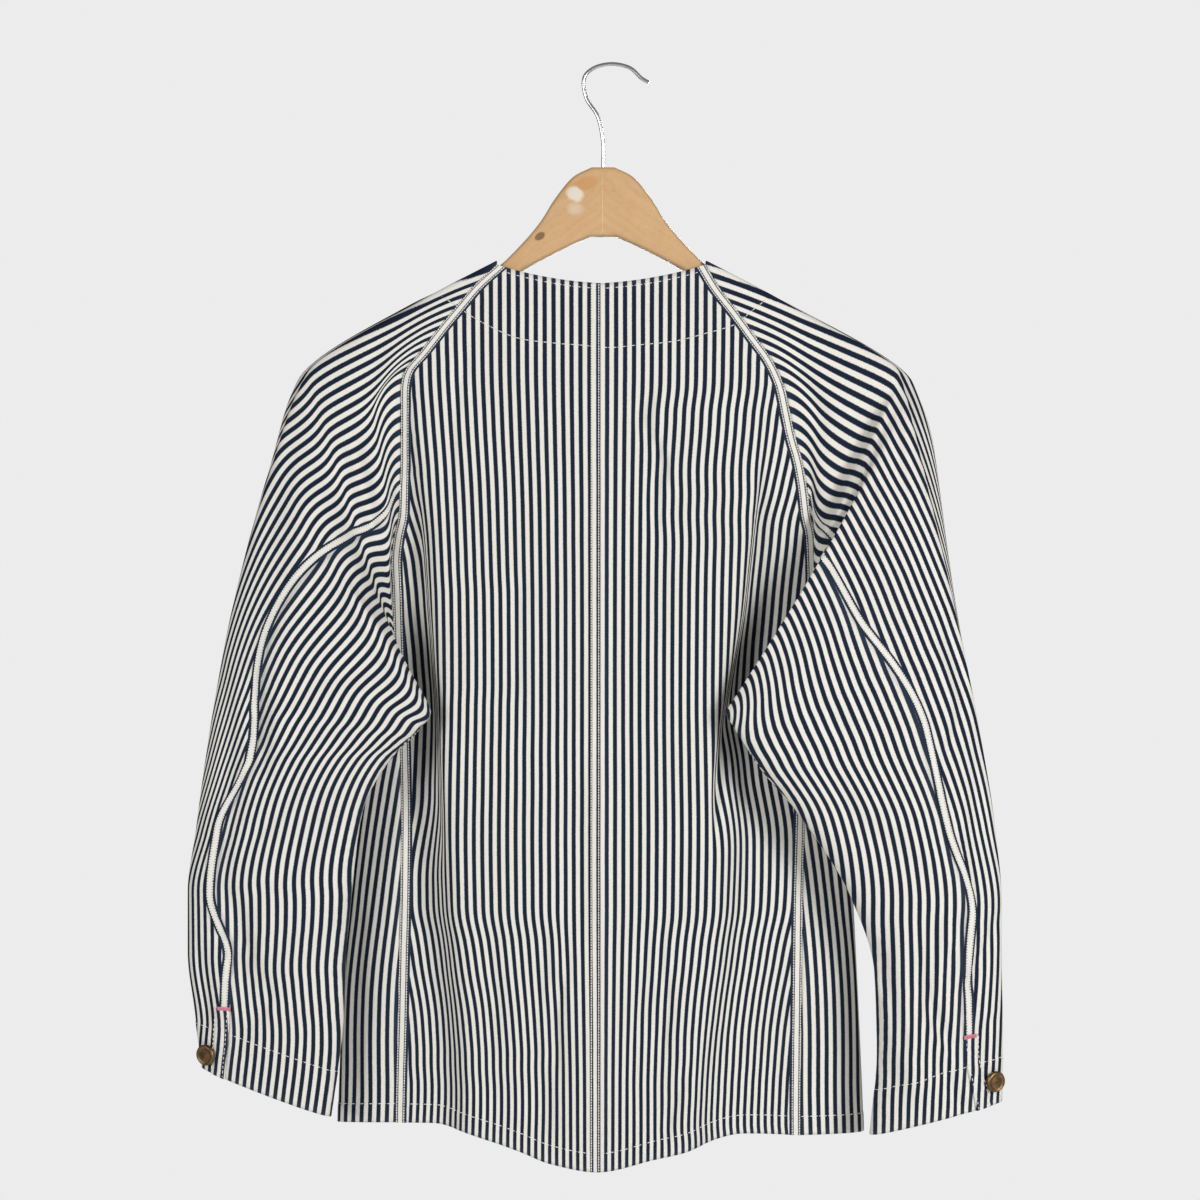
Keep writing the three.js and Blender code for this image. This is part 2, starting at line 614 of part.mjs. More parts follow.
function reaches(side) {
  const keys = SLEEVE[side].stations.map((station) => station.reach);
  const list = [];
  for (let i = 0; i + 1 < keys.length; i++) {
    for (let k = 0; k < STATION_STEPS; k++) list.push(lerp(keys[i], keys[i + 1], k / STATION_STEPS));
  }
  list.push(keys[keys.length - 1]);
  return list;
}

function sleevePiece(side, starts, angleAt, turn) {
  const grid = reaches(side).map((reach) => starts.map((start, j) => {
    return sleevePoint(side, reach, start.point, start.angle, angleAt(reach, j));
  }));
  return { grid, inward: inwardOf(grid, turn * SIGN[side]) };
}

// The sleeve's upper piece, from its back seam over the shoulder and the far side to the underarm
function sleeveUpper(side) {
  const starts = upperStarts(side);
  const top = RAGLAN_UPPER_ROWS + NECK_STRIP_STEPS / 2;
  const rest = starts.length - 1 - top;
  const angleAt = (reach, j) => {
    const seam = SLEEVE[side].at(reach).seam;
    return j <= top ? lerp(seam, 0, j / top) : -180 * ((j - top) / rest);
  };
  return sleevePiece(side, starts, angleAt, 1);
}

// The sleeve's under piece, from its back seam to the underarm seam
function sleeveUnder(side) {
  const starts = underStarts(side);
  const last = starts.length - 1;
  return sleevePiece(side, starts, (reach, j) => lerp(SLEEVE[side].at(reach).seam, 180, j / last), -1);
}

// Solid booleans
const wasm = await Module();
wasm.setup();

function toManifold(geometry) {
  const bare = geometry.clone();
  bare.deleteAttribute('normal');
  bare.deleteAttribute('uv');
  const merged = mergeVertices(bare, 1e-4);
  return new wasm.Manifold(new wasm.Mesh({
    numProp: 3,
    vertProperties: new Float32Array(merged.attributes.position.array),
    triVerts: new Uint32Array(merged.index.array),
  }));
}

function fromManifold(manifold) {
  const mesh = manifold.getMesh();
  const geometry = new THREE.BufferGeometry();
  geometry.setAttribute('position', new THREE.Float32BufferAttribute(mesh.vertProperties, 3));
  geometry.setIndex(Array.from(mesh.triVerts));
  return geometry;
}

// The wooden hanger: its outline with rounded edges, bored for the hook
function hangerWood() {
  const half = [...HANGER_TOP, ...HANGER_UNDER];
  const right = half.map((p) => new THREE.Vector2(p.out, p.z));
  const left = half.map((p) => new THREE.Vector2(-p.out, p.z)).reverse();
  const shape = new THREE.Shape([...right, ...left]);
  const geometry = new THREE.ExtrudeGeometry(shape, {
    depth: HANGER_THICK - 2 * HANGER_ROUND,
    bevelThickness: HANGER_ROUND,
    bevelSize: HANGER_ROUND,
    bevelOffset: -HANGER_ROUND,
    bevelSegments: 3,
    steps: 1,
  });
  geometry.translate(0, 0, -HANGER_THICK / 2 + HANGER_ROUND);
  geometry.rotateX(Math.PI / 2);
  geometry.translate(HANGER_CENTRE_X, 0, 0);
  const radius = WIRE_RADIUS + WIRE_CLEARANCE;
  const length = WIRE_DEPTH_IN_WOOD + BORE_OVERRUN;
  const bore = new THREE.CylinderGeometry(radius, radius, length, 2 * WIRE_ARC_STEPS);
  bore.rotateX(Math.PI / 2);
  bore.translate(HANGER_CENTRE_X, 0, HANGER_TOP[0].z + BORE_OVERRUN - length / 2);
  return fromManifold(toManifold(geometry).subtract(toManifold(bore)));
}

// The hook: round wire swept along its path
function hangerHook() {
  const foot = HANGER_TOP[0].z - WIRE_DEPTH_IN_WOOD + WIRE_CLEARANCE;
  const points = WIRE_PATH.map((p, i) => new THREE.Vector3(p.x, 0, i === 0 ? foot : p.z));
  const path = new THREE.CatmullRomCurve3(points, false, 'centripetal');
  const section = new THREE.Shape().absarc(0, 0, WIRE_RADIUS, 0, 2 * Math.PI);
  return new THREE.ExtrudeGeometry(section, {
    steps: WIRE_STEPS, extrudePath: path, curveSegments: WIRE_ARC_STEPS,
  });
}

// A metal shank button with a rolled rim, standing on +Y
function buttonGeometry() {
  const low = BUTTON_GAP + BUTTON_SHANK;
  const shank = [[0, BUTTON_GAP], [BUTTON_SHANK_RADIUS, BUTTON_GAP], [BUTTON_SHANK_RADIUS, low]];
  const rim = BUTTON_RIM.map(([out, up]) => [out * BUTTON_RADIUS, low + up * BUTTON_THICK]);
  const profile = [...shank, ...rim].map(([radius, height]) => new THREE.Vector2(radius, height));
  return new THREE.LatheGeometry(profile, BUTTON_SIDES);
}

const COLOURS = {
  cloth: { color: 0xa9a79d, roughness: 0.9, metalness: 0 },
  wood: { color: 0xcfa26a, roughness: 0.55, metalness: 0 },
  steel: { color: 0xb8bcc0, roughness: 0.3, metalness: 1 },
  bronze: { color: 0x6a5236, roughness: 0.45, metalness: 1 },
};

const group = new THREE.Group();

function add(name, geometry, finish) {
  const mesh = new THREE.Mesh(geometry, new THREE.MeshStandardMaterial(COLOURS[finish]));
  mesh.name = name;
  group.add(mesh);
  return mesh;
}

function addButton(name, point, outward) {
  const mesh = add(name, buttonGeometry(), 'bronze');
  mesh.position.copy(point);
  mesh.quaternion.setFromUnitVectors(new THREE.Vector3(0, 1, 0), outward);
}

add('hanger_wood', hangerWood(), 'wood');
add('hanger_hook', hangerHook(), 'steel');

// Each side's four panels are joined at their seams, and the vent stays open
for (const side of ['left', 'right']) {
  const panels = {
    [`back_${side}`]: backHalf(side),
    [`front_${side}`]: frontHalf(side),
    [`sleeve_${side}_upper`]: sleeveUpper(side),
    [`sleeve_${side}_under`]: sleeveUnder(side),
  };
  joinSeams(Object.values(panels));
  const ventRow = (SLEEVE[side].stations.length - 2) * STATION_STEPS;
  insetColumn(panels[`sleeve_${side}_under`].grid, ventRow, 0, 1, VENT_INSET);
  for (const [name, panel] of Object.entries(panels)) add(name, wall(panel.grid, panel.inward), 'cloth');
}

for (let i = 0; i < FRONT_BUTTONS; i++) {
  const z = FRONT_BUTTON_TOP_Z - i * FRONT_BUTTON_PITCH;
  const point = bodyPoint('left', z, 0);
  addButton(`front_button_${i + 1}`, point, bodyInward('left', z, 0).negate());
}

// Each cuff's button stands on the near layer of the upper piece, beside the vent
for (const side of ['left', 'right']) {
  const { reach, angle } = CUFF_BUTTON[side];
  const here = ovalPoint(side, reach, angle);
  const round = ovalPoint(side, reach, angle + 2).sub(ovalPoint(side, reach, angle - 2));
  const down = ovalPoint(side, reach + 2, angle).sub(ovalPoint(side, reach - 2, angle));
  const outward = round.cross(down).normalize().multiplyScalar(SIGN[side]);
  addButton(`cuff_button_${side}`, here, outward.y > 0 ? outward.negate() : outward);
}

export default group;
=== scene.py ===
import math

import bmesh
import bpy
import numpy as np
from mathutils import Matrix, Vector


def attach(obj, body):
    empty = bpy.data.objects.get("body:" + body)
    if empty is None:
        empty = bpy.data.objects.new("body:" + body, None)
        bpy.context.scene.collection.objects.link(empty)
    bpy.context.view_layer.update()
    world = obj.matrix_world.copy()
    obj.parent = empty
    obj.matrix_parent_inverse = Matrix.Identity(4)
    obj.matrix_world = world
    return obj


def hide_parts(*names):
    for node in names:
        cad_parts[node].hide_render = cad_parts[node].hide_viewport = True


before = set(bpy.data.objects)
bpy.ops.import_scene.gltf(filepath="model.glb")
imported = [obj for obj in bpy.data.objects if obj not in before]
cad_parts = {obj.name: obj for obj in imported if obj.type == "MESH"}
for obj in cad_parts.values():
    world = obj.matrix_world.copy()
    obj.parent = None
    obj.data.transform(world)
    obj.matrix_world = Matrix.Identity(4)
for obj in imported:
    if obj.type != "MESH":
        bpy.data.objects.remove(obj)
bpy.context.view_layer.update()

# Tables below are in millimetres and degrees; every mesh is made in metres
MM = 0.001

# Camera, level with the middle of the jacket and behind it
CAMERA_X = -9.4
CAMERA_Z = -419.2
CAMERA_AWAY = 2000
PICTURE_WIDTH = 942
SENSOR = 36
BACKDROP = 0.84
ROOM_LIGHT = 0.17

# Cloth
CLOTH_THICK = 0.9
CENTRE_BACK_X = -9
LAP = 17
LAP_STEP = 2.5
LAP_EASE = 14
NECK_BACK_Z = -172
NECK_FRONT_Z = -252
HEM_FRONT_Z = -836
ARMPIT_Z = -450
NECK_STRIP_RISE = 9
FRONT_NECK_ROUNDNESS = 2.7
BACK_NECK_BOW = 0.3
BACK_NECK_DIP = 6
SIDE_ROUNDNESS = 2.6
SLEEVE_SEAM_SHARE = 0.64
ANGLE_AT_NECK = 12
FOLD_END = 0.12
FOLD_FADE = 0.1

# Mesh steps of the panels
BACK_STEPS = 110
FRONT_STEPS = 84
SIDE_ROWS = 120
UPPER_ROWS = 40
UNDER_ROWS = 30
FRONT_ROWS = 60
NECK_STEPS = 20
SLEEVE_ROW = 3
CURVE_STEPS = 400
OUTER_COLUMN = UPPER_ROWS + NECK_STEPS // 2
CREASE_START = 12

# Felled seams and their thread
FELL_LIFT = 0.75
CHAIN_PITCH = 2.1
CHAIN_LENGTH = 1.3
CHAIN_RADIUS = 0.5
CHAIN_LIFT = FELL_LIFT + 0.2
LOCK_PITCH = 3.6
LOCK_LENGTH = 2.7
LOCK_RADIUS = 0.34
LOCK_LIFT = 0.15
FINE_RADIUS = 0.3
HEM_DEPTH = 14.5
NECK_TOPSTITCH = 4.2
FRONT_TOPSTITCH = 5
FACING_WIDTH = 46
CUFF_DEPTH = 35
TURN_UP = 0.45
PUCKER = 0.16
VENT = 66
TACK_LENGTH = 10
TACK_WIDTH = 2.6
TACK_STITCHES = 17
SINK = 0.45

# Hanger, buttons
HANGER_CENTRE_X = -7
HANGER_THICK = 12
HANGER_ROUND = 3.6
WIRE_RADIUS = 1.5
BUTTON_RADIUS = 8.2
BUTTON_THICK = 3.4
BUTTON_SHANK_RADIUS = 2.6
BUTTON_SHANK = 2.0
BUTTON_GAP = 0.3
FRONT_BUTTONS = 5
HOLE_LENGTH = 21
HOLE_LIP = 1.5
HOLE_STITCHES = 24
HOLE_OFFSET = -6
FRONT_BUTTON_TOP_Z = -268
FRONT_BUTTON_PITCH = 110
CUFF_BUTTON = {"left": (536, 32), "right": (552, 34)}

SIGN = {"left": -1, "right": 1}

BODY = [
    (-880, -217, 199, -16, 8, 38),
    (-830, -216, 198, -16, 8, 38),
    (-734, -212, 194, -16, 8, 38),
    (-655, -206, 190, -16, 8, 37),
    (-577, -200, 184, -16, 8, 36),
    (-498, -192, 178, -15, 8, 35),
    (-451, -186, 173, -14, 7, 33),
    (-404, -184, 172, -14, 6, 30),
    (-345, -190, 176, -14, 5, 26),
    (-254, -200, 186, -13, 3, 20),
    (-150, -210, 196, -11, 0, 12),
]
PLATEAU = [
    (-880, -120, 13, 9, 68, 19, 13),
    (-789, -121, 17, 9, 72, 21, 13),
    (-743, -124, 20, 8, 82, 21, 13),
    (-697, -127, 23, 8, 89, 21, 12),
    (-651, -131, 25, 8, 94, 21, 11),
    (-604, -134, 26, 8, 97, 22, 11),
    (-558, -137, 26, 7, 97, 24, 10),
    (-512, -137, 25, 7, 91, 27, 9),
    (-465, -141, 22, 7, 97, 26, 10),
    (-419, -143, 18, 8, 106, 23, 11),
    (-373, -144, 15, 8, 112, 18, 11),
    (-327, -152, 11, 7, 116, 13, 9),
    (-280, -156, 7, 6, 117, 8, 8),
    (-234, -157, 4, 8, 122, 5, 10),
    (-150, -150, 0, 12, 125, 0, 14),
]
SEAM = {
    "left": [
        (-880, -169), (-829, -169), (-730, -167), (-613, -165), (-536, -166), (-497, -169), (-450, -171),
        (-415, -172), (-388, -173), (-370, -171), (-352, -167), (-334, -166), (-305, -165), (-276, -165),
        (-255, -165), (-243, -163), (-226, -150), (-204, -133), (-187, -119), (-175, -109), (-157.5, -90),
    ],
    "right": [
        (-880, 147), (-841, 147), (-730, 148), (-652, 149), (-575, 151), (-497, 153), (-450, 157),
        (-404, 160), (-371, 159), (-351, 155), (-334, 153), (-312, 149), (-291, 143), (-272, 139),
        (-254, 135), (-234, 126), (-214, 112), (-193, 97), (-176, 84), (-157.5, 73),
    ],
}
SEAM_FRONT = [
    (-436, 1.05), (-420, 0.93), (-395, 0.8), (-360, 0.69), (-320, 0.61), (-280, 0.55), (-240, 0.47),
    (-205, 0.37), (-173, 0.28),
]
HEM = [
    (-230, -818), (-214, -824), (-186, -827), (-140, -827), (-117, -831), (-94, -838), (-71, -846),
    (-48, -855), (-12, -861), (33, -851), (56, -846), (79, -839), (102, -835), (148, -837),
    (175, -839), (199, -836), (215, -830),
]

# Broad folds, each from one end to the other, with its width and depth: positive sinks in
BACK_FOLDS = [
    (-53, -690, -57, -850, 15, 6),
    (-29, -520, -25, -700, 11, 3),
    (-92, -700, -84, -850, 13, 4),
    (22, -240, 52, -400, 12, 2.5),
    (55, -330, 40, -560, 12, -2),
    (30, -700, 40, -850, 14, 4),
    (-150, -560, -148, -700, 9, 3),
    (128, -620, 122, -840, 10, 3),
]
FRONT_FOLDS = [
    (-70, -300, -88, -850, 26, 13),
    (-140, -420, -146, -850, 20, -8),
    (62, -300, 78, -850, 24, 14),
    (128, -420, 132, -850, 20, -8),
    (-50, -520, -56, -850, 12, -5),
    (42, -560, 44, -850, 12, -4),
]

# Sleeve sections by reach: outer and inner points, their depths, how far the near and far layers
# stand off, how far the far layer lags, how blunt the ends are and where the back seam runs
STATIONS = {
    "left": [
        (0, -92, -154, -171, -450, 0, -14, 13, 5, 13, 13, 0, 0.42, 0.5, 121),
        (35, -154, -186, -170, -452, 0, -22.5, 12.2, 5.5, 15, 18.7, 24.3, 0.42, 0.59, 110),
        (80, -239, -242, -167, -457, -2, -26.4, 15, 3, 16, 10.6, 21.1, 0.45, 0.91, 101),
        (150, -266, -318, -139, -505, -14, -48, 17, 13, 20, 20, 15.9, 0.6, 0.8, 74),
        (215, -298, -441, -147, -517, -22, -50, 19, 17, 24, 24, 18, 0.7, 0.8, 55),
        (285, -315, -544, -166, -536, -27, -46, 19, 19, 26, 26, 6, 0.8, 0.8, 63),
        (340, -322, -598, -192, -582, -29, -40, 19, 19, 26, 26, 0, 0.8, 0.8, 50),
        (395, -328, -645, -200, -638, -30, -36, 19, 19, 24, 24, 0, 0.8, 0.8, 51),
        (445, -328, -691, -205, -688, -30, -34, 18, 18, 22, 22, 0, 0.8, 0.8, 66),
        (492, -323, -734, -207, -741, -30, -34, 17, 17, 20, 20, 0, 0.8, 0.8, 61),
        (555, -317, -780, -217, -817, -29, -35, 15, 15, 18, 18, 0, 0.8, 0.8, 53),
    ],
    "right": [
        (0, 75, -154, 157, -450, 0, -14, 13, 5, 13, 13, 0, 0.42, 0.5, 121),
        (35, 139, -187, 152, -454, 0, -18.4, 10.5, 3.8, 25, 7, 20.4, 0.42, 0.59, 110),
        (80, 225, -241, 138, -465, -2, -37.9, 15, 6.8, 25, 8, 31, 0.45, 0.68, 103),
        (150, 234, -282, 87, -504, -16, -54, 15, 10.4, 20, 19.2, 52.2, 0.6, 0.61, 90),
        (215, 255, -376, 93, -517, -22, -55, 18, 16, 24, 21.7, 43.6, 0.7, 0.8, 82),
        (285, 283, -512, 112, -545, -27, -54, 19, 18, 25, 25, 19.2, 0.8, 0.8, 63),
        (345, 296, -594, 144, -585, -29, -48, 19, 18, 26, 26, 4, 0.8, 0.8, 65),
        (405, 301, -652, 184, -649, -30, -42, 19, 18, 25, 25, 0, 0.8, 0.8, 61),
        (460, 301, -699, 202, -707, -30, -38, 18, 18, 22, 22, 0, 0.8, 0.8, 70),
        (512, 302, -753, 204, -768, -30, -36, 17, 17, 20, 20, 0, 0.8, 0.8, 70),
        (575, 301, -806, 199, -831, -29, -35, 15, 15, 18, 18, 0, 0.8, 0.8, 55),
    ],
}
SLEEVE_FOLDS = {
    "left": [
        (-214, -398, -142, -503, 9, -5),
        (-186, -372, -160, -462, 12, 7),
        (-208, -300, -188, -385, 10, 4),
        (-276, -470, -268, -560, 9, 5),
        (-290, -640, -278, -740, 9, 6),
        (-180, -540, -262, -640, 12, 4),
        (-205, -640, -262, -720, 11, -4),
        (-247, -420, -236, -330, 11, -3),
    ],
    "right": [
        (226, -262, 92, -500, 9, -5),
        (205, -262, 168, -352, 14, 8),
        (262, -428, 272, -492, 9, 5),
        (222, -330, 262, -470, 12, 3),
        (282, -560, 286, -660, 9, 6),
        (150, -560, 262, -650, 12, 4),
        (207, -712, 238, -806, 11, -7),
        (268, -700, 278, -780, 9, 5),
    ],
}

# Creases, placed as they are seen from behind: kind, width, depth and the bent line.
# A step falls away on the left of its line; a soft one is a trough, or a ridge if negative.
SLEEVE_CREASES = {
    "left": [
        ("step", 26, 9, [(-215, -398), (-195, -421), (-176, -445), (-159, -469), (-148, -484), (-141, -502)]),
        ("soft", 5, -3, [(-215, -398), (-195, -421), (-176, -445), (-159, -469), (-148, -484), (-141, -502)]),
        ("soft", 7, 5, [(-207, -282), (-198, -317), (-190, -349), (-187, -376)]),
        ("soft", 5, -2.5, [(-217, -286), (-209, -317), (-200, -347), (-193, -372)]),
        ("soft", 6, 3, [(-185, -376), (-176, -400), (-168, -423), (-163, -447)]),
        ("soft", 6, 3, [(-253, -490), (-221, -476), (-186, -473), (-155, -479)]),
        ("soft", 7, 3, [(-270, -545), (-245, -525), (-206, -515), (-159, -510)]),
        ("soft", 6, -2, [(-275, -521), (-245, -504), (-206, -495), (-170, -495)]),
        ("soft", 5, 4, [(-274, -498), (-278, -520), (-275, -539), (-283, -557)]),
        ("soft", 6, 4, [(-287, -554), (-297, -580), (-304, -608), (-307, -639), (-303, -670)]),
        ("soft", 5, 2.5, [(-245, -553), (-254, -576), (-275, -600), (-292, -615)]),
        ("soft", 7, 3, [(-221, -568), (-237, -608), (-267, -639), (-294, -659)]),
        ("soft", 5, -2, [(-231, -576), (-248, -615), (-275, -639), (-295, -647)]),
        ("soft", 5, 4, [(-312, -678), (-301, -692), (-294, -706), (-292, -721)]),
        ("soft", 5, 4, [(-290, -674), (-286, -698), (-275, -721), (-262, -743)]),
        ("soft", 4, -2.5, [(-296, -678), (-283, -708), (-270, -733), (-264, -757)]),
        ("soft", 6, 3, [(-300, -780), (-289, -757), (-275, -741), (-265, -721)]),
        ("soft", 5, 2.5, [(-251, -774), (-241, -757), (-228, -743), (-215, -736)]),
        ("soft", 5, 3, [(-323, -765), (-319, -741), (-321, -714), (-325, -686)]),
        ("soft", 8, 3, [(-312, -451), (-304, -498), (-301, -545), (-312, -592)]),
        ("soft", 9, -3, [(-245, -419), (-259, -458), (-264, -498), (-257, -545)]),
        ("soft", 8, 2.5, [(-249, -262), (-253, -301), (-264, -341), (-275, -388)]),
        ("soft", 8, 2.5, [(-178, -207), (-188, -239), (-193, -270), (-188, -301)]),
    ],
    "right": [
        ("step", 24, 8, [(161, -374), (177, -346), (185, -320), (199, -297), (210, -274), (228, -246)]),
        ("soft", 4.5, -3.5, [(228, -246), (199, -297), (185, -320), (177, -346), (161, -374), (150, -399)]),
        ("soft", 8, 4, [(228, -270), (224, -294), (224, -317), (230, -341)]),
        ("soft", 6, -2.5, [(238, -270), (233, -294), (235, -325), (242, -349)]),
        ("soft", 6, 3, [(204, -317), (204, -345), (217, -372), (230, -404)]),
        ("soft", 7, 3, [(185, -356), (196, -388), (214, -419), (230, -451)]),
        ("soft", 7, 3, [(148, -411), (165, -433), (187, -458), (210, -498)]),
        ("soft", 6, -2, [(132, -439), (157, -458), (181, -490), (203, -529)]),
        ("soft", 7, 3, [(110, -466), (148, -490), (177, -521), (199, -560)]),
        ("soft", 6, 2.5, [(99, -502), (140, -521), (171, -553), (195, -600)]),
        ("soft", 6, 4, [(258, -439), (269, -466), (276, -493), (269, -525), (258, -557)]),
        ("soft", 5, -2.5, [(250, -451), (262, -482), (265, -509), (258, -541)]),
        ("soft", 6, 4, [(248, -560), (253, -592), (261, -615), (271, -639)]),
        ("soft", 6, 3, [(285, -513), (287, -560), (283, -608), (286, -655)]),
        ("soft", 5, 4, [(307, -659), (295, -690), (283, -714), (269, -733)]),
        ("soft", 5, 4, [(279, -659), (273, -686), (264, -714), (262, -741)]),
        ("soft", 6, 5, [(254, -655), (250, -702), (248, -733), (261, -761), (278, -787)]),
        ("soft", 4, -3, [(243, -678), (240, -725), (248, -753), (267, -780)]),
        ("soft", 5, 3, [(258, -772), (264, -796), (271, -812), (278, -826)]),
        ("soft", 5, 3, [(305, -741), (294, -757), (289, -780), (292, -800)]),
        ("soft", 8, -3, [(230, -655), (226, -702), (234, -749), (246, -788)]),
        ("soft", 8, 3, [(140, -215), (148, -239), (157, -262), (170, -286)]),
        ("soft", 6, 3, [(199, -674), (214, -718), (226, -757), (236, -792)]),
    ],
}
# Creases of the back, as above; the first two are the edges beside which the cloth falls away
BACK_CREASES = [
    ("step", 26, 17, [(-132, -640), (-134, -585), (-137, -529), (-141, -466), (-145, -419), (-148, -372),
                      (-151, -325)]),
    ("step", 26, 15, [(117, -300), (115, -340), (109, -391), (104, -431), (94, -481), (85, -525),
                      (80, -575), (80, -625)]),
    ("soft", 5, 2.5, [(34, -246), (22, -278), (38, -309), (30, -341), (39, -380)]),
    ("soft", 5, -2, [(44, -246), (34, -282), (48, -313), (41, -349), (50, -388)]),
    ("soft", 7, 2.5, [(-72, -388), (-78, -451), (-72, -513)]),
    ("soft", 5, 2.5, [(-41, -655), (-36, -702), (-44, -749), (-42, -804)]),
    ("soft", 5, -2, [(-50, -655), (-46, -702), (-54, -749), (-52, -804)]),
    ("soft", 5, 2.5, [(61, -780), (53, -804), (44, -827), (38, -851)]),
    ("soft", 5, 2, [(22, -655), (27, -718), (17, -780), (22, -835)]),
    ("soft", 4, 2, [(44, -659), (38, -702), (44, -741), (34, -784)]),
    ("soft", 7, 2.5, [(-99, -655), (-94, -718), (-99, -780), (-94, -835)]),
    ("soft", 5, 2, [(-111, -207), (-119, -246), (-126, -286), (-127, -341)]),
    ("soft", 5, 2, [(100, -207), (107, -246), (102, -286), (108, -333)]),
    ("soft", 5, 2, [(177, -678), (187, -725), (192, -772), (193, -827)]),
    ("soft", 6, 2.5, [(163, -615), (183, -666), (196, -718), (201, -772)]),
    ("soft", 6, 2.5, [(-196, -639), (-201, -702), (-204, -765), (-203, -820)]),
    ("soft", 6, -2, [(-187, -623), (-192, -694), (-193, -765), (-193, -820)]),
]

# How much longer the cloth is than its shape, across the body, by height
BODY_EASE = [
    (-900, 1.3), (-840, 1.29), (-800, 1.28), (-750, 1.23), (-700, 1.16), (-655, 1.1), (-600, 1.09),
    (-500, 1.11), (-420, 1.1), (-340, 1.07), (-280, 1.03), (-240, 1.01), (-150, 1),
]
# Where the sleeve's stripes lie: reach, the cloth at the outer line, how much more of it is taken in
# beside that line, and the cloth's ease
SLEEVE_STRIPES = {
    "left": [
        (0, -10, -17, 0.7), (35, -6, -8, 0.76), (80, 0, 0, 0.89), (150, 34, 0, 0.93),
        (215, 52, 28, 0.99), (285, 72, 40, 0.93), (340, 95, 25, 0.99), (395, 107, 15, 1),
        (445, 107, 12, 1.05), (492, 106, 12, 1.1), (555, 120, 6, 1.08),
    ],
    "right": [
        (0, -19, 0, 0.57), (35, -10, 0, 0.65), (80, 0, 0, 0.755), (150, 11, 0, 0.895), (215, 33, 5, 0.94),
        (285, 57, 6, 0.95), (345, 62, 14, 0.96), (405, 69, 10, 0.98), (460, 68, 8, 1.02), (512, 63, 5, 1.1),
        (575, 61, 5, 1.11),
    ],
}
TAKEN_IN = 22
# How much a length in x, y and z counts where a sleeve's stripes are laid out
STRIPE_SHARES = (1, 0.35, 1)
FRONT_EASE = 1.03

# The stitching that holds the neck facing, as it is seen from behind
FACING_LINE = [
    (-138, -178), (-121, -189), (-106, -199), (-76, -213), (-45, -217.5), (-25, -219), (-2, -221),
    (20, -219), (49, -216), (73, -210), (96, -203), (110, -192), (124, -181),
]

HANGER_TOP = [
    (9, -80), (24, -88), (38, -105), (48, -121), (60, -136), (78, -154.5), (90, -163), (102, -169),
    (126, -182), (149, -195), (173, -208.5), (197, -223.5), (213, -235),
]
HANGER_UNDER = [
    (220, -244), (218, -251), (209, -254), (190, -246), (150, -222), (105, -195), (68, -164), (30, -143),
    (10, -134),
]
WIRE_PATH = [
    (-7, -103.7), (-7, -80), (-7, -60), (-11, -40), (-20, -25.5), (-22, -10), (-14, -1.5), (0, 1.6),
    (14, -1.5), (23, -9.5), (29, -13),
]
BUTTON_RIM = [
    (0.9, 0), (0.98, 0.12), (1, 0.35), (0.98, 0.6), (0.93, 0.85), (0.86, 0.98), (0.78, 1), (0.72, 0.88),
    (0.66, 0.8), (0.5, 0.86), (0.25, 0.95), (0, 0.98),
]


def lerp(a, b, t):
    return a + (b - a) * t


def ease(t):
    c = np.clip(t, 0, 1)
    return c * c * (3 - 2 * c)


def step(t):
    return 0.5 * (1 + np.tanh(t))


def smooth_table(rows):
    """A function that gives a table's columns at any value of its first one, with no overshoot."""
    keys = np.array([row[0] for row in rows], float)
    values = np.array([row[1:] for row in rows], float)
    rises = np.diff(values, axis=0) / np.diff(keys)[:, None]
    slopes = np.vstack([rises[:1], np.zeros_like(rises[1:]), rises[-1:]])
    product = rises[:-1] * rises[1:]
    total = np.where(product > 0, rises[:-1] + rises[1:], 1)
    slopes[1:-1] = np.where(product > 0, 2 * product / total, 0)

    def at(key):
        here = np.clip(np.asarray(key, float), keys[0], keys[-1])
        i = np.clip(np.searchsorted(keys, here, side="right") - 1, 0, len(keys) - 2)
        span = (keys[i + 1] - keys[i])[..., None]
        t = (here - keys[i])[..., None] / span
        base = lerp(values[i], values[i + 1], t * t * (3 - 2 * t))
        bend = (1 - t) * slopes[i] - t * slopes[i + 1]
        return np.moveaxis(base + bend * span * t * (1 - t), -1, 0)

    return at


def smooth_line(points, steps=6):
    """A bent line passed smoothly through its points."""
    p = np.array(points, float)
    p = np.vstack([2 * p[0] - p[1], p, 2 * p[-1] - p[-2]])
    t = np.linspace(0, 1, steps, endpoint=False)[:, None]
    parts = []
    for a, b, c, d in zip(p, p[1:], p[2:], p[3:]):
        parts.append(0.5 * (2 * b + (c - a) * t + (2 * a - 5 * b + 4 * c - d) * t ** 2
                            + (3 * b - a - 3 * c + d) * t ** 3))
    parts.append(p[-2][None])
    return np.vstack(parts)


def fold_depth(folds, x, z):
    total = np.zeros(np.broadcast(x, z).shape)
    for x0, z0, x1, z1, width, depth in folds:
        long = math.hypot(x1 - x0, z1 - z0)
        along = ((x - x0) * (x1 - x0) + (z - z0) * (z1 - z0)) / long ** 2
        across = ((x - x0) * (z1 - z0) - (z - z0) * (x1 - x0)) / long
        fade = step((along - FOLD_END) / FOLD_FADE) * step((1 - FOLD_END - along) / FOLD_FADE)
        total += depth * fade * np.exp(-(across / width) ** 2)
    return total


# How far a crease reaches in its own widths, a step's reach beyond that, the share of its length over
# which it fades at each end, and a step's edge
CREASE_REACH = 3.5
STEP_REACH = 2
CREASE_FADE = 0.22
STEP_EDGE = 1.6


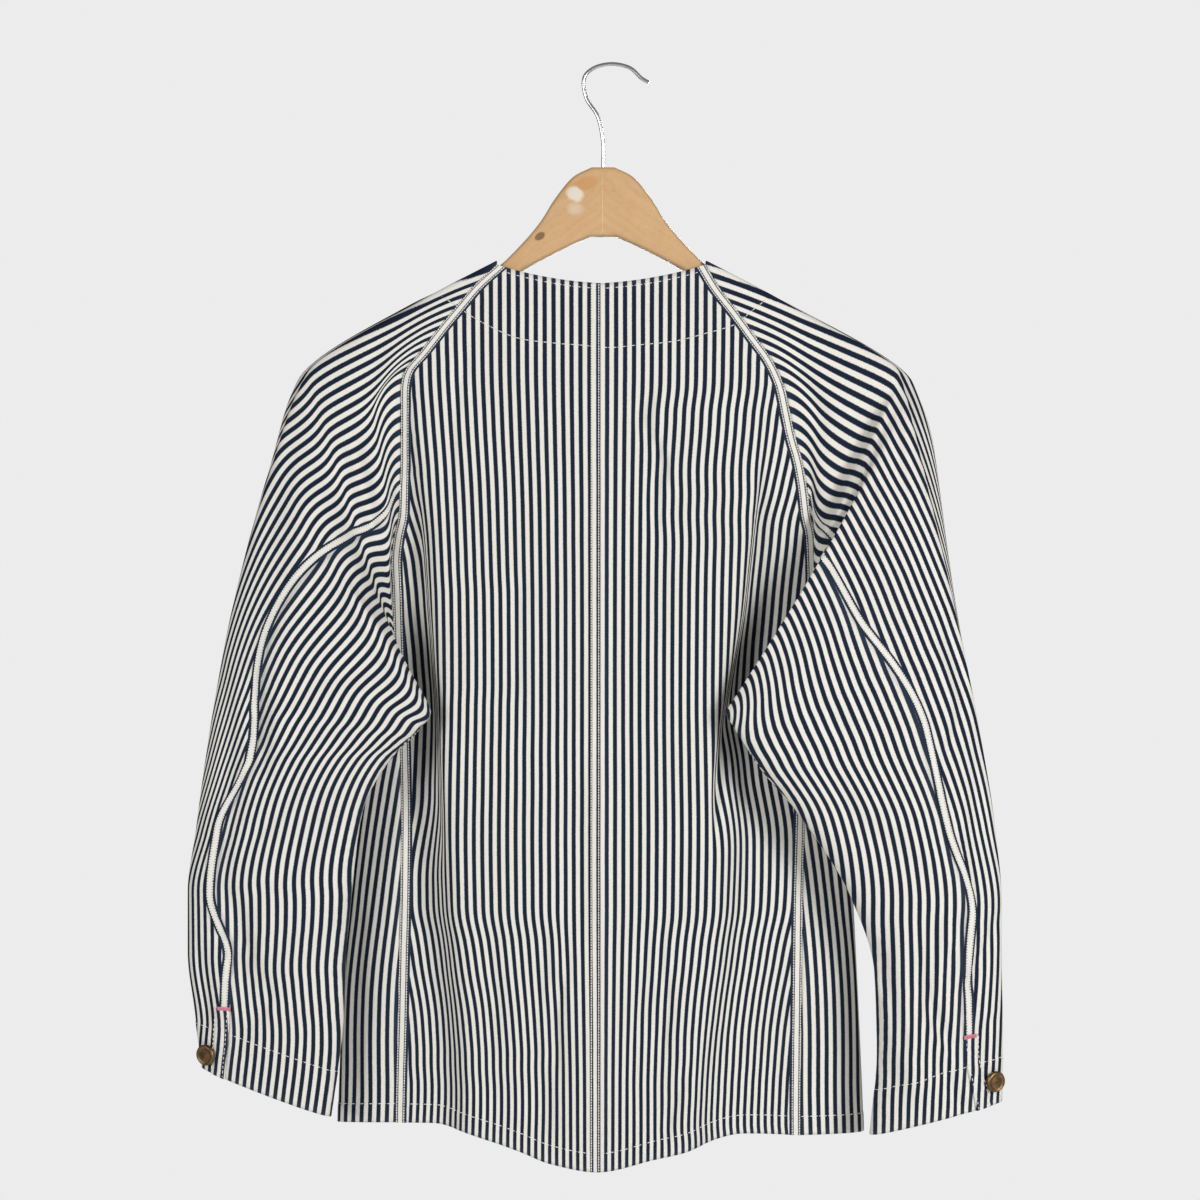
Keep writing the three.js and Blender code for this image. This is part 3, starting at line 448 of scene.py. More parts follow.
def crease_depth(creases, x, z):
    """The depth that the creases add at places given as they are seen from behind."""
    flat_x = np.ravel(x)
    flat_z = np.ravel(z)
    total = np.zeros(flat_x.shape)
    for kind, width, depth, points in creases:
        line = smooth_line(points)
        reach = CREASE_REACH * width + (STEP_REACH * width if kind == "step" else 0)
        low = line.min(axis=0) - reach
        high = line.max(axis=0) + reach
        near = np.flatnonzero((flat_x > low[0]) & (flat_x < high[0]) & (flat_z > low[1]) & (flat_z < high[1]))
        if not len(near):
            continue
        runs = np.diff(line, axis=0)
        long = np.hypot(runs[:, 0], runs[:, 1])
        start = np.concatenate([[0], np.cumsum(long)[:-1]])
        from_x = flat_x[near, None] - line[:-1, 0]
        from_z = flat_z[near, None] - line[:-1, 1]
        t = np.clip((from_x * runs[:, 0] + from_z * runs[:, 1]) / long ** 2, 0, 1)
        away = np.hypot(from_x - t * runs[:, 0], from_z - t * runs[:, 1])
        best = away.argmin(axis=1)
        pick = np.arange(len(near))
        distance = away[pick, best]
        along = (start[best] + t[pick, best] * long[best]) / long.sum()
        turn = runs[best, 0] * from_z[pick, best] - runs[best, 1] * from_x[pick, best]
        fade = ease(along / CREASE_FADE) * ease((1 - along) / CREASE_FADE)
        if kind == "step":
            signed = distance * np.sign(turn)
            shape = step(signed / STEP_EDGE) * np.exp(-np.maximum(signed, 0) / width)
        else:
            shape = np.exp(-(distance / width) ** 2)
        total[near] += depth * fade * shape
    return total.reshape(np.shape(x))


def as_seen(x, y, z):
    """Where a point shows on the upright plane through the hook, seen from the camera."""
    scale = CAMERA_AWAY / (CAMERA_AWAY + y)
    return CAMERA_X + (x - CAMERA_X) * scale, CAMERA_Z + (z - CAMERA_Z) * scale


body_at = smooth_table(BODY)
plateau_at = smooth_table(PLATEAU)
seam_at = {side: smooth_table(rows) for side, rows in SEAM.items()}
front_seam_at = smooth_table(SEAM_FRONT)
hem_at = smooth_table(HEM)
ease_at = smooth_table(BODY_EASE)
station_at = {side: smooth_table(rows) for side, rows in STATIONS.items()}
stripes_at = {side: smooth_table(rows) for side, rows in SLEEVE_STRIPES.items()}


def breadth(z):
    left, right = body_at(z)[:2]
    return (left + right) / 2, (right - left) / 2


def plateau(x, z):
    left_x, left_drop, left_width, right_x, right_drop, right_width = plateau_at(z)
    left = left_drop * step((x - left_x) / left_width)
    right = right_drop * step((right_x - x) / right_width)
    return lerp(left, right, ease((x - left_x) / (right_x - left_x)))


def side_round(x, z):
    middle, half = breadth(z)
    share = np.clip(np.abs(x - middle) / half, 0, 1)
    return (1 - share ** SIDE_ROUNDNESS) ** (1 / SIDE_ROUNDNESS)


def back_depth(x, z):
    back, edge = body_at(z)[2:4]
    round_off = side_round(x, z)
    y = edge - (edge - back) * round_off - plateau(x, z) + fold_depth(BACK_FOLDS, x, z) * round_off
    seen_x, seen_z = as_seen(x, y, z)
    return y + crease_depth(BACK_CREASES, seen_x, seen_z) * round_off


def front_depth(x, z):
    edge, front = body_at(z)[3:5]
    round_off = side_round(x, z)
    return edge + (front - edge) * round_off - fold_depth(FRONT_FOLDS, x, z) * round_off


def body_point(side, z, way):
    """A place on the body: way 0 is the centre front, 1 the side edge and 2 the centre back."""
    middle, half = breadth(z)
    x = middle + SIGN[side] * half * np.sin(way * math.pi / 2)
    y = np.where(way <= 1, front_depth(x, z), back_depth(x, z))
    return np.stack(np.broadcast_arrays(x, y, z), axis=-1)


def back_point(x, z):
    return np.stack(np.broadcast_arrays(x, back_depth(x, z), z), axis=-1)


def way_on_back(side, x, z):
    middle, half = breadth(z)
    return 2 - (2 / math.pi) * np.arcsin(np.clip(SIGN[side] * (x - middle) / half, -1, 1))


def lap_way(z):
    return -(2 / math.pi) * np.arcsin(LAP / breadth(z)[1])


def lengths_along(points, axis=0):
    steps = np.linalg.norm(np.diff(points, axis=axis), axis=-1)
    total = np.cumsum(steps, axis=axis)
    start = np.zeros_like(np.take(total, [0], axis=axis))
    return np.concatenate([start, total], axis=axis)


def evenly(curve, pieces):
    """The shares at which a curve splits into equal lengths."""
    share = np.linspace(0, 1, CURVE_STEPS + 1)
    run = lengths_along(curve(share))
    return np.interp(np.linspace(0, run[-1], pieces + 1), run, share)


def back_seam_point(side, z):
    x = seam_at[side](z)[0]
    return back_point(x, z)


def front_seam_way(side, z):
    armpit = way_on_back(side, seam_at[side](ARMPIT_Z)[0], ARMPIT_Z)
    first_z, first_way = SEAM_FRONT[0]
    below = lerp(armpit, first_way, (z - ARMPIT_Z) / (first_z - ARMPIT_Z))
    return np.where(z >= first_z, front_seam_at(z)[0], below)


def raglan(side):
    """Heights down the raglan seams: the back one to the sleeve's back seam, the rest, the front one."""
    neck_z = SEAM[side][-1][0]
    front_neck_z = SEAM_FRONT[-1][0]
    whole = evenly(lambda s: back_seam_point(side, lerp(neck_z, ARMPIT_Z, s)), CURVE_STEPS)
    split = lerp(neck_z, ARMPIT_Z, whole[round(SLEEVE_SEAM_SHARE * CURVE_STEPS)])
    upper = lerp(neck_z, split, evenly(lambda s: back_seam_point(side, lerp(neck_z, split, s)), UPPER_ROWS))
    lower = evenly(lambda s: back_seam_point(side, lerp(split, ARMPIT_Z, s)), UNDER_ROWS)
    under = lerp(split, ARMPIT_Z, lower)

    def front_curve(share):
        z = lerp(front_neck_z, ARMPIT_Z, share)
        return body_point(side, z, front_seam_way(side, z))

    front = lerp(front_neck_z, ARMPIT_Z, evenly(front_curve, FRONT_ROWS))
    return upper, under, front


RAGLAN = {side: raglan(side) for side in SIGN}


def side_heights(side):
    hem_z = hem_at(seam_at[side](HEM_FRONT_Z)[0])[0]
    return lerp(hem_z, ARMPIT_Z, np.arange(SIDE_ROWS) / SIDE_ROWS)


# Cloth length across the body, from the centre back out, on a grid of places
LAST_CELL = 1.001
ACROSS_X = np.arange(-240, 226, 1.5)
ACROSS_Z = np.arange(-890, -140, 5.0)


def cloth_lengths():
    x, z = np.meshgrid(ACROSS_X, ACROSS_Z)
    run = lengths_along(back_point(x, z), axis=1)
    centre = np.array([np.interp(CENTRE_BACK_X, ACROSS_X, row) for row in run])
    return (run - centre[:, None]) * ease_at(ACROSS_Z)[0][:, None]


ACROSS = cloth_lengths()


def cloth_across(x, z):
    """How far the cloth runs from the centre back seam to a place on the back."""
    i = np.clip((z - ACROSS_Z[0]) / (ACROSS_Z[1] - ACROSS_Z[0]), 0, len(ACROSS_Z) - LAST_CELL)
    j = np.clip((x - ACROSS_X[0]) / (ACROSS_X[1] - ACROSS_X[0]), 0, len(ACROSS_X) - LAST_CELL)
    i0 = i.astype(int)
    j0 = j.astype(int)
    low = lerp(ACROSS[i0, j0], ACROSS[i0, j0 + 1], j - j0)
    high = lerp(ACROSS[i0 + 1, j0], ACROSS[i0 + 1, j0 + 1], j - j0)
    return lerp(low, high, i - i0)


def back_grid(side):
    upper, under, _ = RAGLAN[side]
    heights = np.concatenate([side_heights(side), np.concatenate([upper, under[1:]])[::-1]])
    ends = back_seam_point(side, heights)
    share = (heights - heights[0]) / (heights[-1] - heights[0])
    share = share[:, None]
    hem_centre_z = hem_at(CENTRE_BACK_X)[0]
    centre_z = lerp(hem_centre_z, NECK_BACK_Z, share)
    u = np.linspace(0, 1, BACK_STEPS + 1)[None]
    x = lerp(CENTRE_BACK_X, ends[:, :1], u)
    hem_rise = (hem_at(x)[0] - lerp(hem_centre_z, heights[0], u)) * (1 - share) ** 3
    neck_dip = BACK_NECK_DIP * u * (1 - u) * share ** 4
    z = lerp(centre_z, heights[:, None], u * (1 - BACK_NECK_BOW * share * (1 - u))) + hem_rise - neck_dip
    points = back_point(x, z)
    return points, np.stack([cloth_across(x, z), z], axis=-1)


def front_grid(side):
    front = RAGLAN[side][2]
    below = side_heights(side)
    heights = np.concatenate([below, front[::-1]])
    side_ways = way_on_back(side, seam_at[side](below)[0], below)
    ways = np.concatenate([side_ways, front_seam_way(side, front[::-1])])
    share = ((heights - heights[0]) / (heights[-1] - heights[0]))[:, None]
    centre_z = lerp(HEM_FRONT_Z, NECK_FRONT_Z, share)
    u = np.linspace(0, 1, FRONT_STEPS + 1)[None]
    z = lerp(centre_z, heights[:, None], lerp(u, u ** FRONT_NECK_ROUNDNESS, share ** 3))
    points = body_point(side, z, lerp(lap_way(z), ways[:, None], u))
    if side == "right":
        past_lap = points[..., 0] - breadth(z)[0] - LAP - LAP_EASE
        points[..., 1] -= LAP_STEP * (1 - ease(past_lap / LAP_EASE))
    run = lengths_along(points, axis=1) * FRONT_EASE
    return points, np.stack([SIGN[side] * run, z], axis=-1)


def oval_point(side, reach, angle):
    """A place on a sleeve's section: 0 is the outer point, 180 the inner one, above 0 is near."""
    s = station_at[side](reach)
    out_x, out_z, in_x, in_z, out_y, in_y, near, near_in, far, far_in, lag, out_power, in_power, _ = s
    across = (1 - np.cos(np.radians(angle))) / 2
    rise = np.abs(np.sin(np.radians(angle))) ** lerp(out_power, in_power, across)
    x = lerp(out_x, in_x, across)
    z = lerp(out_z, in_z, across)
    y = lerp(out_y, in_y, across)
    length = np.hypot(in_x - out_x, in_z - out_z)
    is_far = angle < 0
    sign = SIGN[side]
    near_y = y - lerp(near, near_in, across) * rise + fold_depth(SLEEVE_FOLDS[side], x, z) * rise
    far_x = x - (in_z - out_z) / length * lag * rise * sign
    far_z = z + (in_x - out_x) / length * lag * rise * sign
    far_y = y + lerp(far, far_in, across) * rise
    return np.stack([np.where(is_far, far_x, x), np.where(is_far, far_y, near_y),
                     np.where(is_far, far_z, z)], axis=-1)


def sleeve_point(side, reach, start, start_angle, angle):
    first = STATIONS[side][2][0]
    blend = ease(reach / first)
    oval = oval_point(side, reach, lerp(start_angle, angle, blend))
    correction = start - oval_point(side, np.zeros_like(reach), start_angle + 0 * reach)
    points = oval + correction * (1 - blend)[..., None]
    angle_now = lerp(start_angle, angle, blend)
    rise = np.abs(np.sin(np.radians(angle_now))) ** 0.5 * (angle_now > 0)
    seen_x, seen_z = as_seen(points[..., 0], points[..., 1], points[..., 2])
    fade = ease(reach / CREASE_START)
    points[..., 1] += crease_depth(SLEEVE_CREASES[side], seen_x, seen_z) * rise * fade
    return points


def neck_strip(side):
    upper, _, front = RAGLAN[side]
    back_end = back_seam_point(side, upper[0])
    front_end = body_point(side, front[0], front_seam_way(side, front[0]))
    t = np.linspace(0, 1, NECK_STEPS + 1)
    strip = lerp(back_end[None], front_end[None], t[:, None])
    strip[:, 2] += NECK_STRIP_RISE * np.sqrt(np.clip(np.sin(math.pi * t), 0, 1))
    return strip


def upper_starts(side):
    """Start points of the upper piece, from its back seam over the neck to the armpit."""
    upper, _, front = RAGLAN[side]
    seam = STATIONS[side][0][-1]
    points = np.vstack([back_seam_point(side, upper[::-1]), neck_strip(side)[1:],
                        body_point(side, front[1:], front_seam_way(side, front[1:]))])
    angles = np.concatenate([np.linspace(seam, ANGLE_AT_NECK, UPPER_ROWS + 1),
                             np.linspace(ANGLE_AT_NECK, -ANGLE_AT_NECK, NECK_STEPS + 1)[1:],
                             np.linspace(-ANGLE_AT_NECK, -180, FRONT_ROWS + 1)[1:]])
    return points, angles


def sleeve_reaches(side):
    last = STATIONS[side][-1][0]
    return np.linspace(0, last, round(last / SLEEVE_ROW) + 1)[:, None]


def upper_angles(side, reach):
    seam = station_at[side](reach)[-1]
    rest = FRONT_ROWS + NECK_STEPS // 2
    near = seam * (1 - np.arange(OUTER_COLUMN + 1)[None] / OUTER_COLUMN)
    far = -180 * np.arange(1, rest + 1)[None] / rest + 0 * seam
    return np.concatenate([near, far], axis=1)


def sleeve_cloth(side, reach, run):
    """The cloth's place at a distance from the sleeve's outer line, near side positive."""
    shift, taken_in, slack = stripes_at[side](reach)
    return shift + slack * run + taken_in * np.sign(run) * (1 - np.exp(-np.abs(run) / TAKEN_IN))


def upper_grid(side):
    starts, start_angles = upper_starts(side)
    reach = sleeve_reaches(side)
    angle = upper_angles(side, reach)
    points = sleeve_point(side, reach + 0 * angle, starts[None], start_angles[None], angle)
    run = lengths_along(points * STRIPE_SHARES, axis=1)
    run = run[:, OUTER_COLUMN:OUTER_COLUMN + 1] - run
    return points, np.stack([sleeve_cloth(side, reach, run), reach + 0 * run], axis=-1)


def under_grid(side):
    start = back_seam_point(side, RAGLAN[side][1])
    start_angles = np.linspace(STATIONS[side][0][-1], 180, UNDER_ROWS + 1)[None]
    reach = sleeve_reaches(side)
    seam = station_at[side](reach)[-1]
    angle = lerp(seam, 180, np.linspace(0, 1, UNDER_ROWS + 1)[None])
    points = sleeve_point(side, reach + 0 * angle, start[None], start_angles, angle)
    upper_points = upper_grid(side)[0]
    to_seam = lengths_along(upper_points * STRIPE_SHARES, axis=1)[:, OUTER_COLUMN:OUTER_COLUMN + 1]
    run = to_seam + lengths_along(points * STRIPE_SHARES, axis=1)
    return points, np.stack([sleeve_cloth(side, reach, run), reach + 0 * run], axis=-1)


class Value:
    """A shader socket that takes part in sums."""

    def __init__(self, finish, socket):
        self.finish = finish
        self.socket = socket

    def sum(self, operation, *others):
        return self.finish.node("ShaderNodeMath", {"operation": operation}, {
            i: v for i, v in enumerate((self, *others))})

    def __add__(self, other):
        return self.sum("ADD", other)

    __radd__ = __add__

    def __sub__(self, other):
        return self.sum("SUBTRACT", other)

    def __rsub__(self, other):
        return (self * -1).sum("ADD", other)

    def __mul__(self, other):
        return self.sum("MULTIPLY", other)

    __rmul__ = __mul__

    def __truediv__(self, other):
        return self.sum("DIVIDE", other)

    def held(self):
        """Kept between 0 and 1."""
        return self.finish.node("ShaderNodeClamp", {}, {"Value": self})


class Finish:
    """A material and its nodes."""

    def __init__(self, name, **plain):
        self.material = bpy.data.materials.new(name)
        self.material.use_nodes = True
        self.tree = self.material.node_tree
        self.shader = self.tree.nodes["Principled BSDF"]
        for socket, value in plain.items():
            self.shader.inputs[socket.replace("_", " ")].default_value = value

    def node(self, kind, settings, sockets, output=0):
        made = self.tree.nodes.new(kind)
        for name, value in settings.items():
            setattr(made, name, value)
        for name, value in sockets.items():
            if isinstance(value, Value):
                self.tree.links.new(value.socket, made.inputs[name])
            else:
                made.inputs[name].default_value = value
        return Value(self, made.outputs[output])

    def feed(self, socket, value):
        self.tree.links.new(value.socket, self.shader.inputs[socket])

    def mix(self, share, first, second):
        """A colour between two."""
        return self.node("ShaderNodeMix", {"data_type": "RGBA"}, {0: share, 6: first, 7: second}, 2)

    def noise(self, place, scale, detail=2, roughness=0.5):
        return self.node("ShaderNodeTexNoise", {}, {
            "Vector": place, "Scale": scale, "Detail": detail, "Roughness": roughness})

    def place(self):
        return self.node("ShaderNodeTexCoord", {}, {}, "Object")

    def parts(self, place):
        return [self.node("ShaderNodeSeparateXYZ", {}, {0: place}, i) for i in range(3)]

    def joined(self, x, y, z):
        return self.node("ShaderNodeCombineXYZ", {}, {0: x, 1: y, 2: z})

    def bump(self, height, distance, strength):
        return self.node("ShaderNodeBump", {}, {
            "Height": height, "Distance": distance, "Strength": strength})


NAVY = (0.0085, 0.0155, 0.032, 1)
NAVY_WORN = (0.04, 0.06, 0.1, 1)
CREAM = (0.75, 0.725, 0.67, 1)
CREAM_SOFT = (0.66, 0.62, 0.54, 1)
THREAD = (0.88, 0.86, 0.8, 1)
PINK = (0.78, 0.27, 0.36, 1)
STRIPE_PITCH = 0.007
TWILL_PITCH = 0.0011
TWILL_LEAN = 0.55


def striped_cloth():
    """Twill in even navy and cream stripes, on the cut's own metric map."""
    cloth = Finish("hickory_twill", Roughness=0.9, Specular_IOR_Level=0.1)
    cut = cloth.node("ShaderNodeUVMap", {"uv_map": "cut"}, {})
    u, v, _ = cloth.parts(cut)
    flat = cloth.joined(u, v, 0)
    wander = cloth.noise(flat, 22, 2) - 0.5
    fray = cloth.noise(cloth.joined(u, v, 3), 1500, 2) - 0.5
    wave = (u * (2 * math.pi / STRIPE_PITCH) + wander * 0.35).sum("SINE")
    mask = ((wave + fray * 0.7 - 0.03) * 2.2 + 0.5).held()
    twill = ((u * TWILL_LEAN + v) * (2 * math.pi / TWILL_PITCH)).sum("SINE")
    thread = cloth.noise(cloth.joined(u * 3.0, v * 0.8, 1), 1100, 2)
    flecks = ((thread - 0.66) * 9).held()
    wear = cloth.node("ShaderNodeAttribute", {"attribute_name": "wear"}, {}, "Fac")
    wash = cloth.noise(flat, 14, 3)
    navy = cloth.mix((flecks * 0.35 + wear * 0.5 + (wash - 0.5) * 0.3).held(), NAVY, NAVY_WORN)
    soil = ((wash - 0.35) * 1.3 + (thread - 0.5) * 0.5).held()
    cream = cloth.mix(soil * 0.6, CREAM, CREAM_SOFT)
    cloth.feed("Base Color", cloth.mix(mask, navy, cream))
    height = twill * 0.25 + thread * 0.6 + cloth.noise(flat, 260, 2) * 0.8
    cloth.feed("Normal", cloth.bump(height, 0.00022, 0.7))
    return cloth.material


def thread_finish(name, colour):
    thread = Finish(name, Roughness=0.7, Sheen_Weight=0.2)
    fuzz = thread.noise(thread.place(), 1800, 2)
    darker = tuple(channel * 0.72 for channel in colour[:3]) + (1,)
    thread.feed("Base Color", thread.mix(fuzz, darker, colour))
    thread.feed("Normal", thread.bump(fuzz, 0.0002, 0.6))
    return thread.material


WOOD_PALE = (0.62, 0.4, 0.2, 1)
WOOD_MID = (0.5, 0.29, 0.13, 1)
WOOD_RED = (0.55, 0.27, 0.1, 1)
WOOD_DARK = (0.16, 0.075, 0.03, 1)
RESIDUE = (0.72, 0.66, 0.56, 1)
GLUE_LINE = 0.0006
GRAIN_DOWN = 0.6
GRAIN_OUT = 0.8


def spot(finish, x, z, at_x, at_z, wide, high, turn=0):
    """1 at the middle of an oval patch, falling to 0 at its rim."""
    c = math.cos(turn)
    s = math.sin(turn)
    along = ((x - at_x) * c + (z - at_z) * s) / wide
    across = ((z - at_z) * c - (x - at_x) * s) / high
    return (1 - (along * along + across * across)).held()


def hanger_finish():
    """Varnished wood, with the stains, the scrape, the ring marks and the glued joint that show on it."""
    wood = Finish("varnished_wood", Roughness=0.45, Coat_Weight=0.25, Coat_Roughness=0.25)
    place = wood.place()
    x, y, z = wood.parts(place)
    out = (x - HANGER_CENTRE_X * MM).sum("ABSOLUTE")
    along = out * GRAIN_OUT - z * GRAIN_DOWN
    across = out * GRAIN_DOWN + z * GRAIN_OUT
    wander = wood.noise(wood.joined(along, across, y), 16, 2) - 0.5
    grain = wood.noise(wood.joined(along * 2.2, across * 46 + wander * 1.4, y * 30), 5, 4, 0.6)
    mottle = wood.noise(place, 42, 3)
    pores = ((wood.noise(wood.joined(along * 60, across * 420, y * 300), 4, 1) - 0.62) * 7).held()
    colour = wood.mix((grain * 1.2 - 0.2).held(), WOOD_PALE, WOOD_MID)
    colour = wood.mix(((mottle - 0.52) * 1.6).held(), colour, WOOD_RED)
    colour = wood.mix(pores * 0.3, colour, WOOD_DARK)
    ragged = wood.noise(place, 190, 3)
    orange = (spot(wood, x, z, -0.021, -0.0935, 0.013, 0.0065, 0.3) * 1.6 + ragged * 0.9 - 0.6).held()
    colour = wood.mix(orange * 0.8, colour, WOOD_RED)
    right = (spot(wood, x, z, 0.026, -0.091, 0.022, 0.006, -0.6) * 1.5 + ragged * 0.9 - 0.8).held()
    colour = wood.mix(right * 0.6, colour, WOOD_RED)
    scrape = (spot(wood, x, z, -0.029, -0.1015, 0.009, 0.007, -0.5) * 2 + ragged * 1.4 - 1.1).held()
    colour = wood.mix(scrape * 0.85, colour, RESIDUE)
    mark = (spot(wood, x, z, -0.029, -0.113, 0.0075, 0.006) * 1.2 + ragged * 0.3 - 0.2).held()
    colour = wood.mix(mark * 0.4, colour, RESIDUE)
    rings = (spot(wood, x, z, -0.0565, -0.1345, 0.0055, 0.0035, 0.6) + ragged * 0.3 - 0.3).held()
    colour = wood.mix((rings * 2.2).held() * 0.85, colour, WOOD_DARK)
    glue = (1 - out / GLUE_LINE).held()
    colour = wood.mix(glue * 0.45, colour, WOOD_RED)
    wood.feed("Base Color", colour)
    wood.feed("Roughness", (0.38 + grain * 0.12 + scrape * 0.3).held())
    wood.feed("Normal", wood.bump(grain * 0.4 - pores * 0.5 + scrape * ragged * 2 - glue, 0.0003, 0.6))
    return wood.material


def metal_finish(name, bright, dull, rough, patchy):
    metal = Finish(name, Metallic=1.0)
    place = metal.place()
    patches = metal.noise(place, 170, 4)
    fine = metal.noise(place, 1400, 2)
    tarnish = ((patches - 0.5) * patchy + 0.5).held()
    metal.feed("Base Color", metal.mix(tarnish, bright, dull))
    metal.feed("Roughness", (rough + tarnish * 0.18 + fine * 0.06).held())
    metal.feed("Normal", metal.bump(fine * 0.4 + patches * 0.3, 0.00012, 0.5))
    return metal.material


FLOOR_DARK = 0.8
FLOOR_PALE = 0.84


def floor_finish():
    floor = Finish("pale_floor", Roughness=0.9)
    tone = floor.noise(floor.place(), 3, 2)
    floor.feed("Base Color", floor.mix(tone, (*[FLOOR_DARK] * 3, 1), (*[FLOOR_PALE] * 3, 1)))
    return floor.material


CLOTH = striped_cloth()
WHITE_THREAD = thread_finish("cream_thread", THREAD)
PINK_THREAD = thread_finish("pink_thread", PINK)
WOOD = hanger_finish()
STEEL = metal_finish("plated_wire", (0.8, 0.81, 0.82, 1), (0.55, 0.56, 0.57, 1), 0.16, 1.2)
BRONZE = metal_finish("aged_bronze", (0.3, 0.19, 0.09, 1), (0.09, 0.055, 0.03, 1), 0.34, 2.4)


def to_object(name, bm, finish, smooth=True):
    mesh = bpy.data.meshes.new(name)
    bm.to_mesh(mesh)
    bm.free()
    if smooth:
        mesh.polygons.foreach_set("use_smooth", [True] * len(mesh.polygons))
    mesh.materials.append(finish)
    made = bpy.data.objects.new(name, mesh)
    bpy.context.scene.collection.objects.link(made)
    return made


def curve_object(name, curve, finish):
    """The mesh that a curve makes, as an object of its own on the root body."""
    shaped = bpy.data.objects.new(name + "_curve", curve)
    bpy.context.scene.collection.objects.link(shaped)
    bpy.context.view_layer.update()
    seen = shaped.evaluated_get(bpy.context.evaluated_depsgraph_get())
    mesh = bpy.data.meshes.new_from_object(seen)
    bpy.data.objects.remove(shaped)
    mesh.materials.clear()
    mesh.materials.append(finish)
    made = bpy.data.objects.new(name, mesh)
    bpy.context.scene.collection.objects.link(made)
    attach(made, "root")
    return made


WEAR_WIDTH = 4
EDGE_SHARPNESS = 0.5
PUCKER_PLACE = 12
PUCKER_WIDTH = 7
FIRST_SEAM_SHARE = 0.6

# Uneven waves as size, rate for each millimetre and start
PUCKER_WAVES = [(1, 0.72, 0), (0.8, 0.31, 1), (0.6, 1.13, 2)]
BAND_WAVES = [(0.1, 1.1, 0), (0.08, 0.47, 1), (0.06, 2.3, 0)]


def waves(rows, run):
    return sum(size * np.sin(run * rate + start) for size, rate, start in rows)


def edge_wear(points):
    """1 at a panel's edges, fading within a few millimetres."""
    down = lengths_along(points, axis=0)
    across = lengths_along(points, axis=1)
    nearest = np.minimum(np.minimum(down, down[-1:] - down), np.minimum(across, across[:, -1:] - across))
    return np.exp(-nearest / WEAR_WIDTH)


def cloth_grid(name, points, cut, hint, thick=0):
    """A sheet through a grid of points, facing the way that the hint gives for its first columns."""
    rows, columns = points.shape[:2]
    wear = edge_wear(points)
    bm = bmesh.new()
    bmesh.ops.create_grid(bm, x_segments=columns - 1, y_segments=rows - 1, size=1)
    map_layer = bm.loops.layers.uv.new("cut")
    wear_layer = bm.verts.layers.float.new("wear")
    place = {}
    for vert in bm.verts:
        i = round((vert.co.y + 1) / 2 * (rows - 1))
        j = round((vert.co.x + 1) / 2 * (columns - 1))
        place[vert.index] = (i, j)
        vert.co = points[i, j] * MM
        vert[wear_layer] = wear[i, j]
    facing = 0
    for face in bm.faces:
        face.normal_update()
        corners = [place[loop.vert.index] for loop in face.loops]
        if min(corner[1] for corner in corners) < columns // 5:
            facing += face.normal.dot(hint) * face.calc_area()
        for loop, (i, j) in zip(face.loops, corners):
            loop[map_layer].uv = cut[i, j] * MM
    if facing < 0:
        bmesh.ops.reverse_faces(bm, faces=bm.faces[:])
    made = to_object(name, bm, CLOTH)
    if thick:
        wall = made.modifiers.new("cloth", "SOLIDIFY")
        wall.thickness = thick * MM
        wall.offset = -1
    return made


BACKWARD = Vector((0, -1, 0))
FORWARD = Vector((0, 1, 0))
FRONT_WARD = np.array([0, 1, 0])
FACING = {"back": BACKWARD, "front": FORWARD, "sleeve": BACKWARD}


def outward_of(points, hint):
    """Unit directions out of a grid of points, the way that the hint gives for its first columns."""
    down = np.gradient(points, axis=0)
    across = np.gradient(points, axis=1)
    normal = np.cross(across, down)
    normal /= np.maximum(np.linalg.norm(normal, axis=-1, keepdims=True), 1e-9)
    first = max(points.shape[1] // 5, 2)
    return normal if np.sum(normal[:, :first] @ np.array(hint)) > 0 else -normal


def raised_near(distance, depth):
    """1 within a depth of an edge, falling off sharply past it."""
    return step((depth - distance) / EDGE_SHARPNESS)


def beside_seam(distance):
    """1 at the line of puckers beside a seam, falling off to both sides."""
    return np.exp(-((distance - PUCKER_PLACE) / PUCKER_WIDTH) ** 2)


def panel_relief(node, points, outward):
    """The turned-up edges and the puckers that sewing leaves beside the seams."""
    down = lengths_along(points, axis=0)
    across = lengths_along(points, axis=1)
    if node.startswith("sleeve"):
        turned = raised_near(down[-1:] - down, CUFF_DEPTH)
    else:
        turned = raised_near(down, HEM_DEPTH)
    last_seam = across[:, -1:] - across
    pucker = waves(PUCKER_WAVES, down) * (beside_seam(last_seam) + FIRST_SEAM_SHARE * beside_seam(across))
    lift = TURN_UP * turned + PUCKER * pucker
    return points + outward * lift[..., None]


panels = {}
for side in SIGN:
    grids = {
        f"back_{side}": back_grid(side),
        f"front_{side}": front_grid(side),
        f"sleeve_{side}_upper": upper_grid(side),
        f"sleeve_{side}_under": under_grid(side),
    }
    for node, (points, cut) in grids.items():
        hint = FACING[node.split("_")[0]]
        outward = outward_of(points, hint)
        points = panel_relief(node, points, outward)
        panel = cloth_grid(f"cloth_{node}", points, cut, hint, CLOTH_THICK)
        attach(panel, "root")
        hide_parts(node)
        panels[node] = (points, cut, outward)


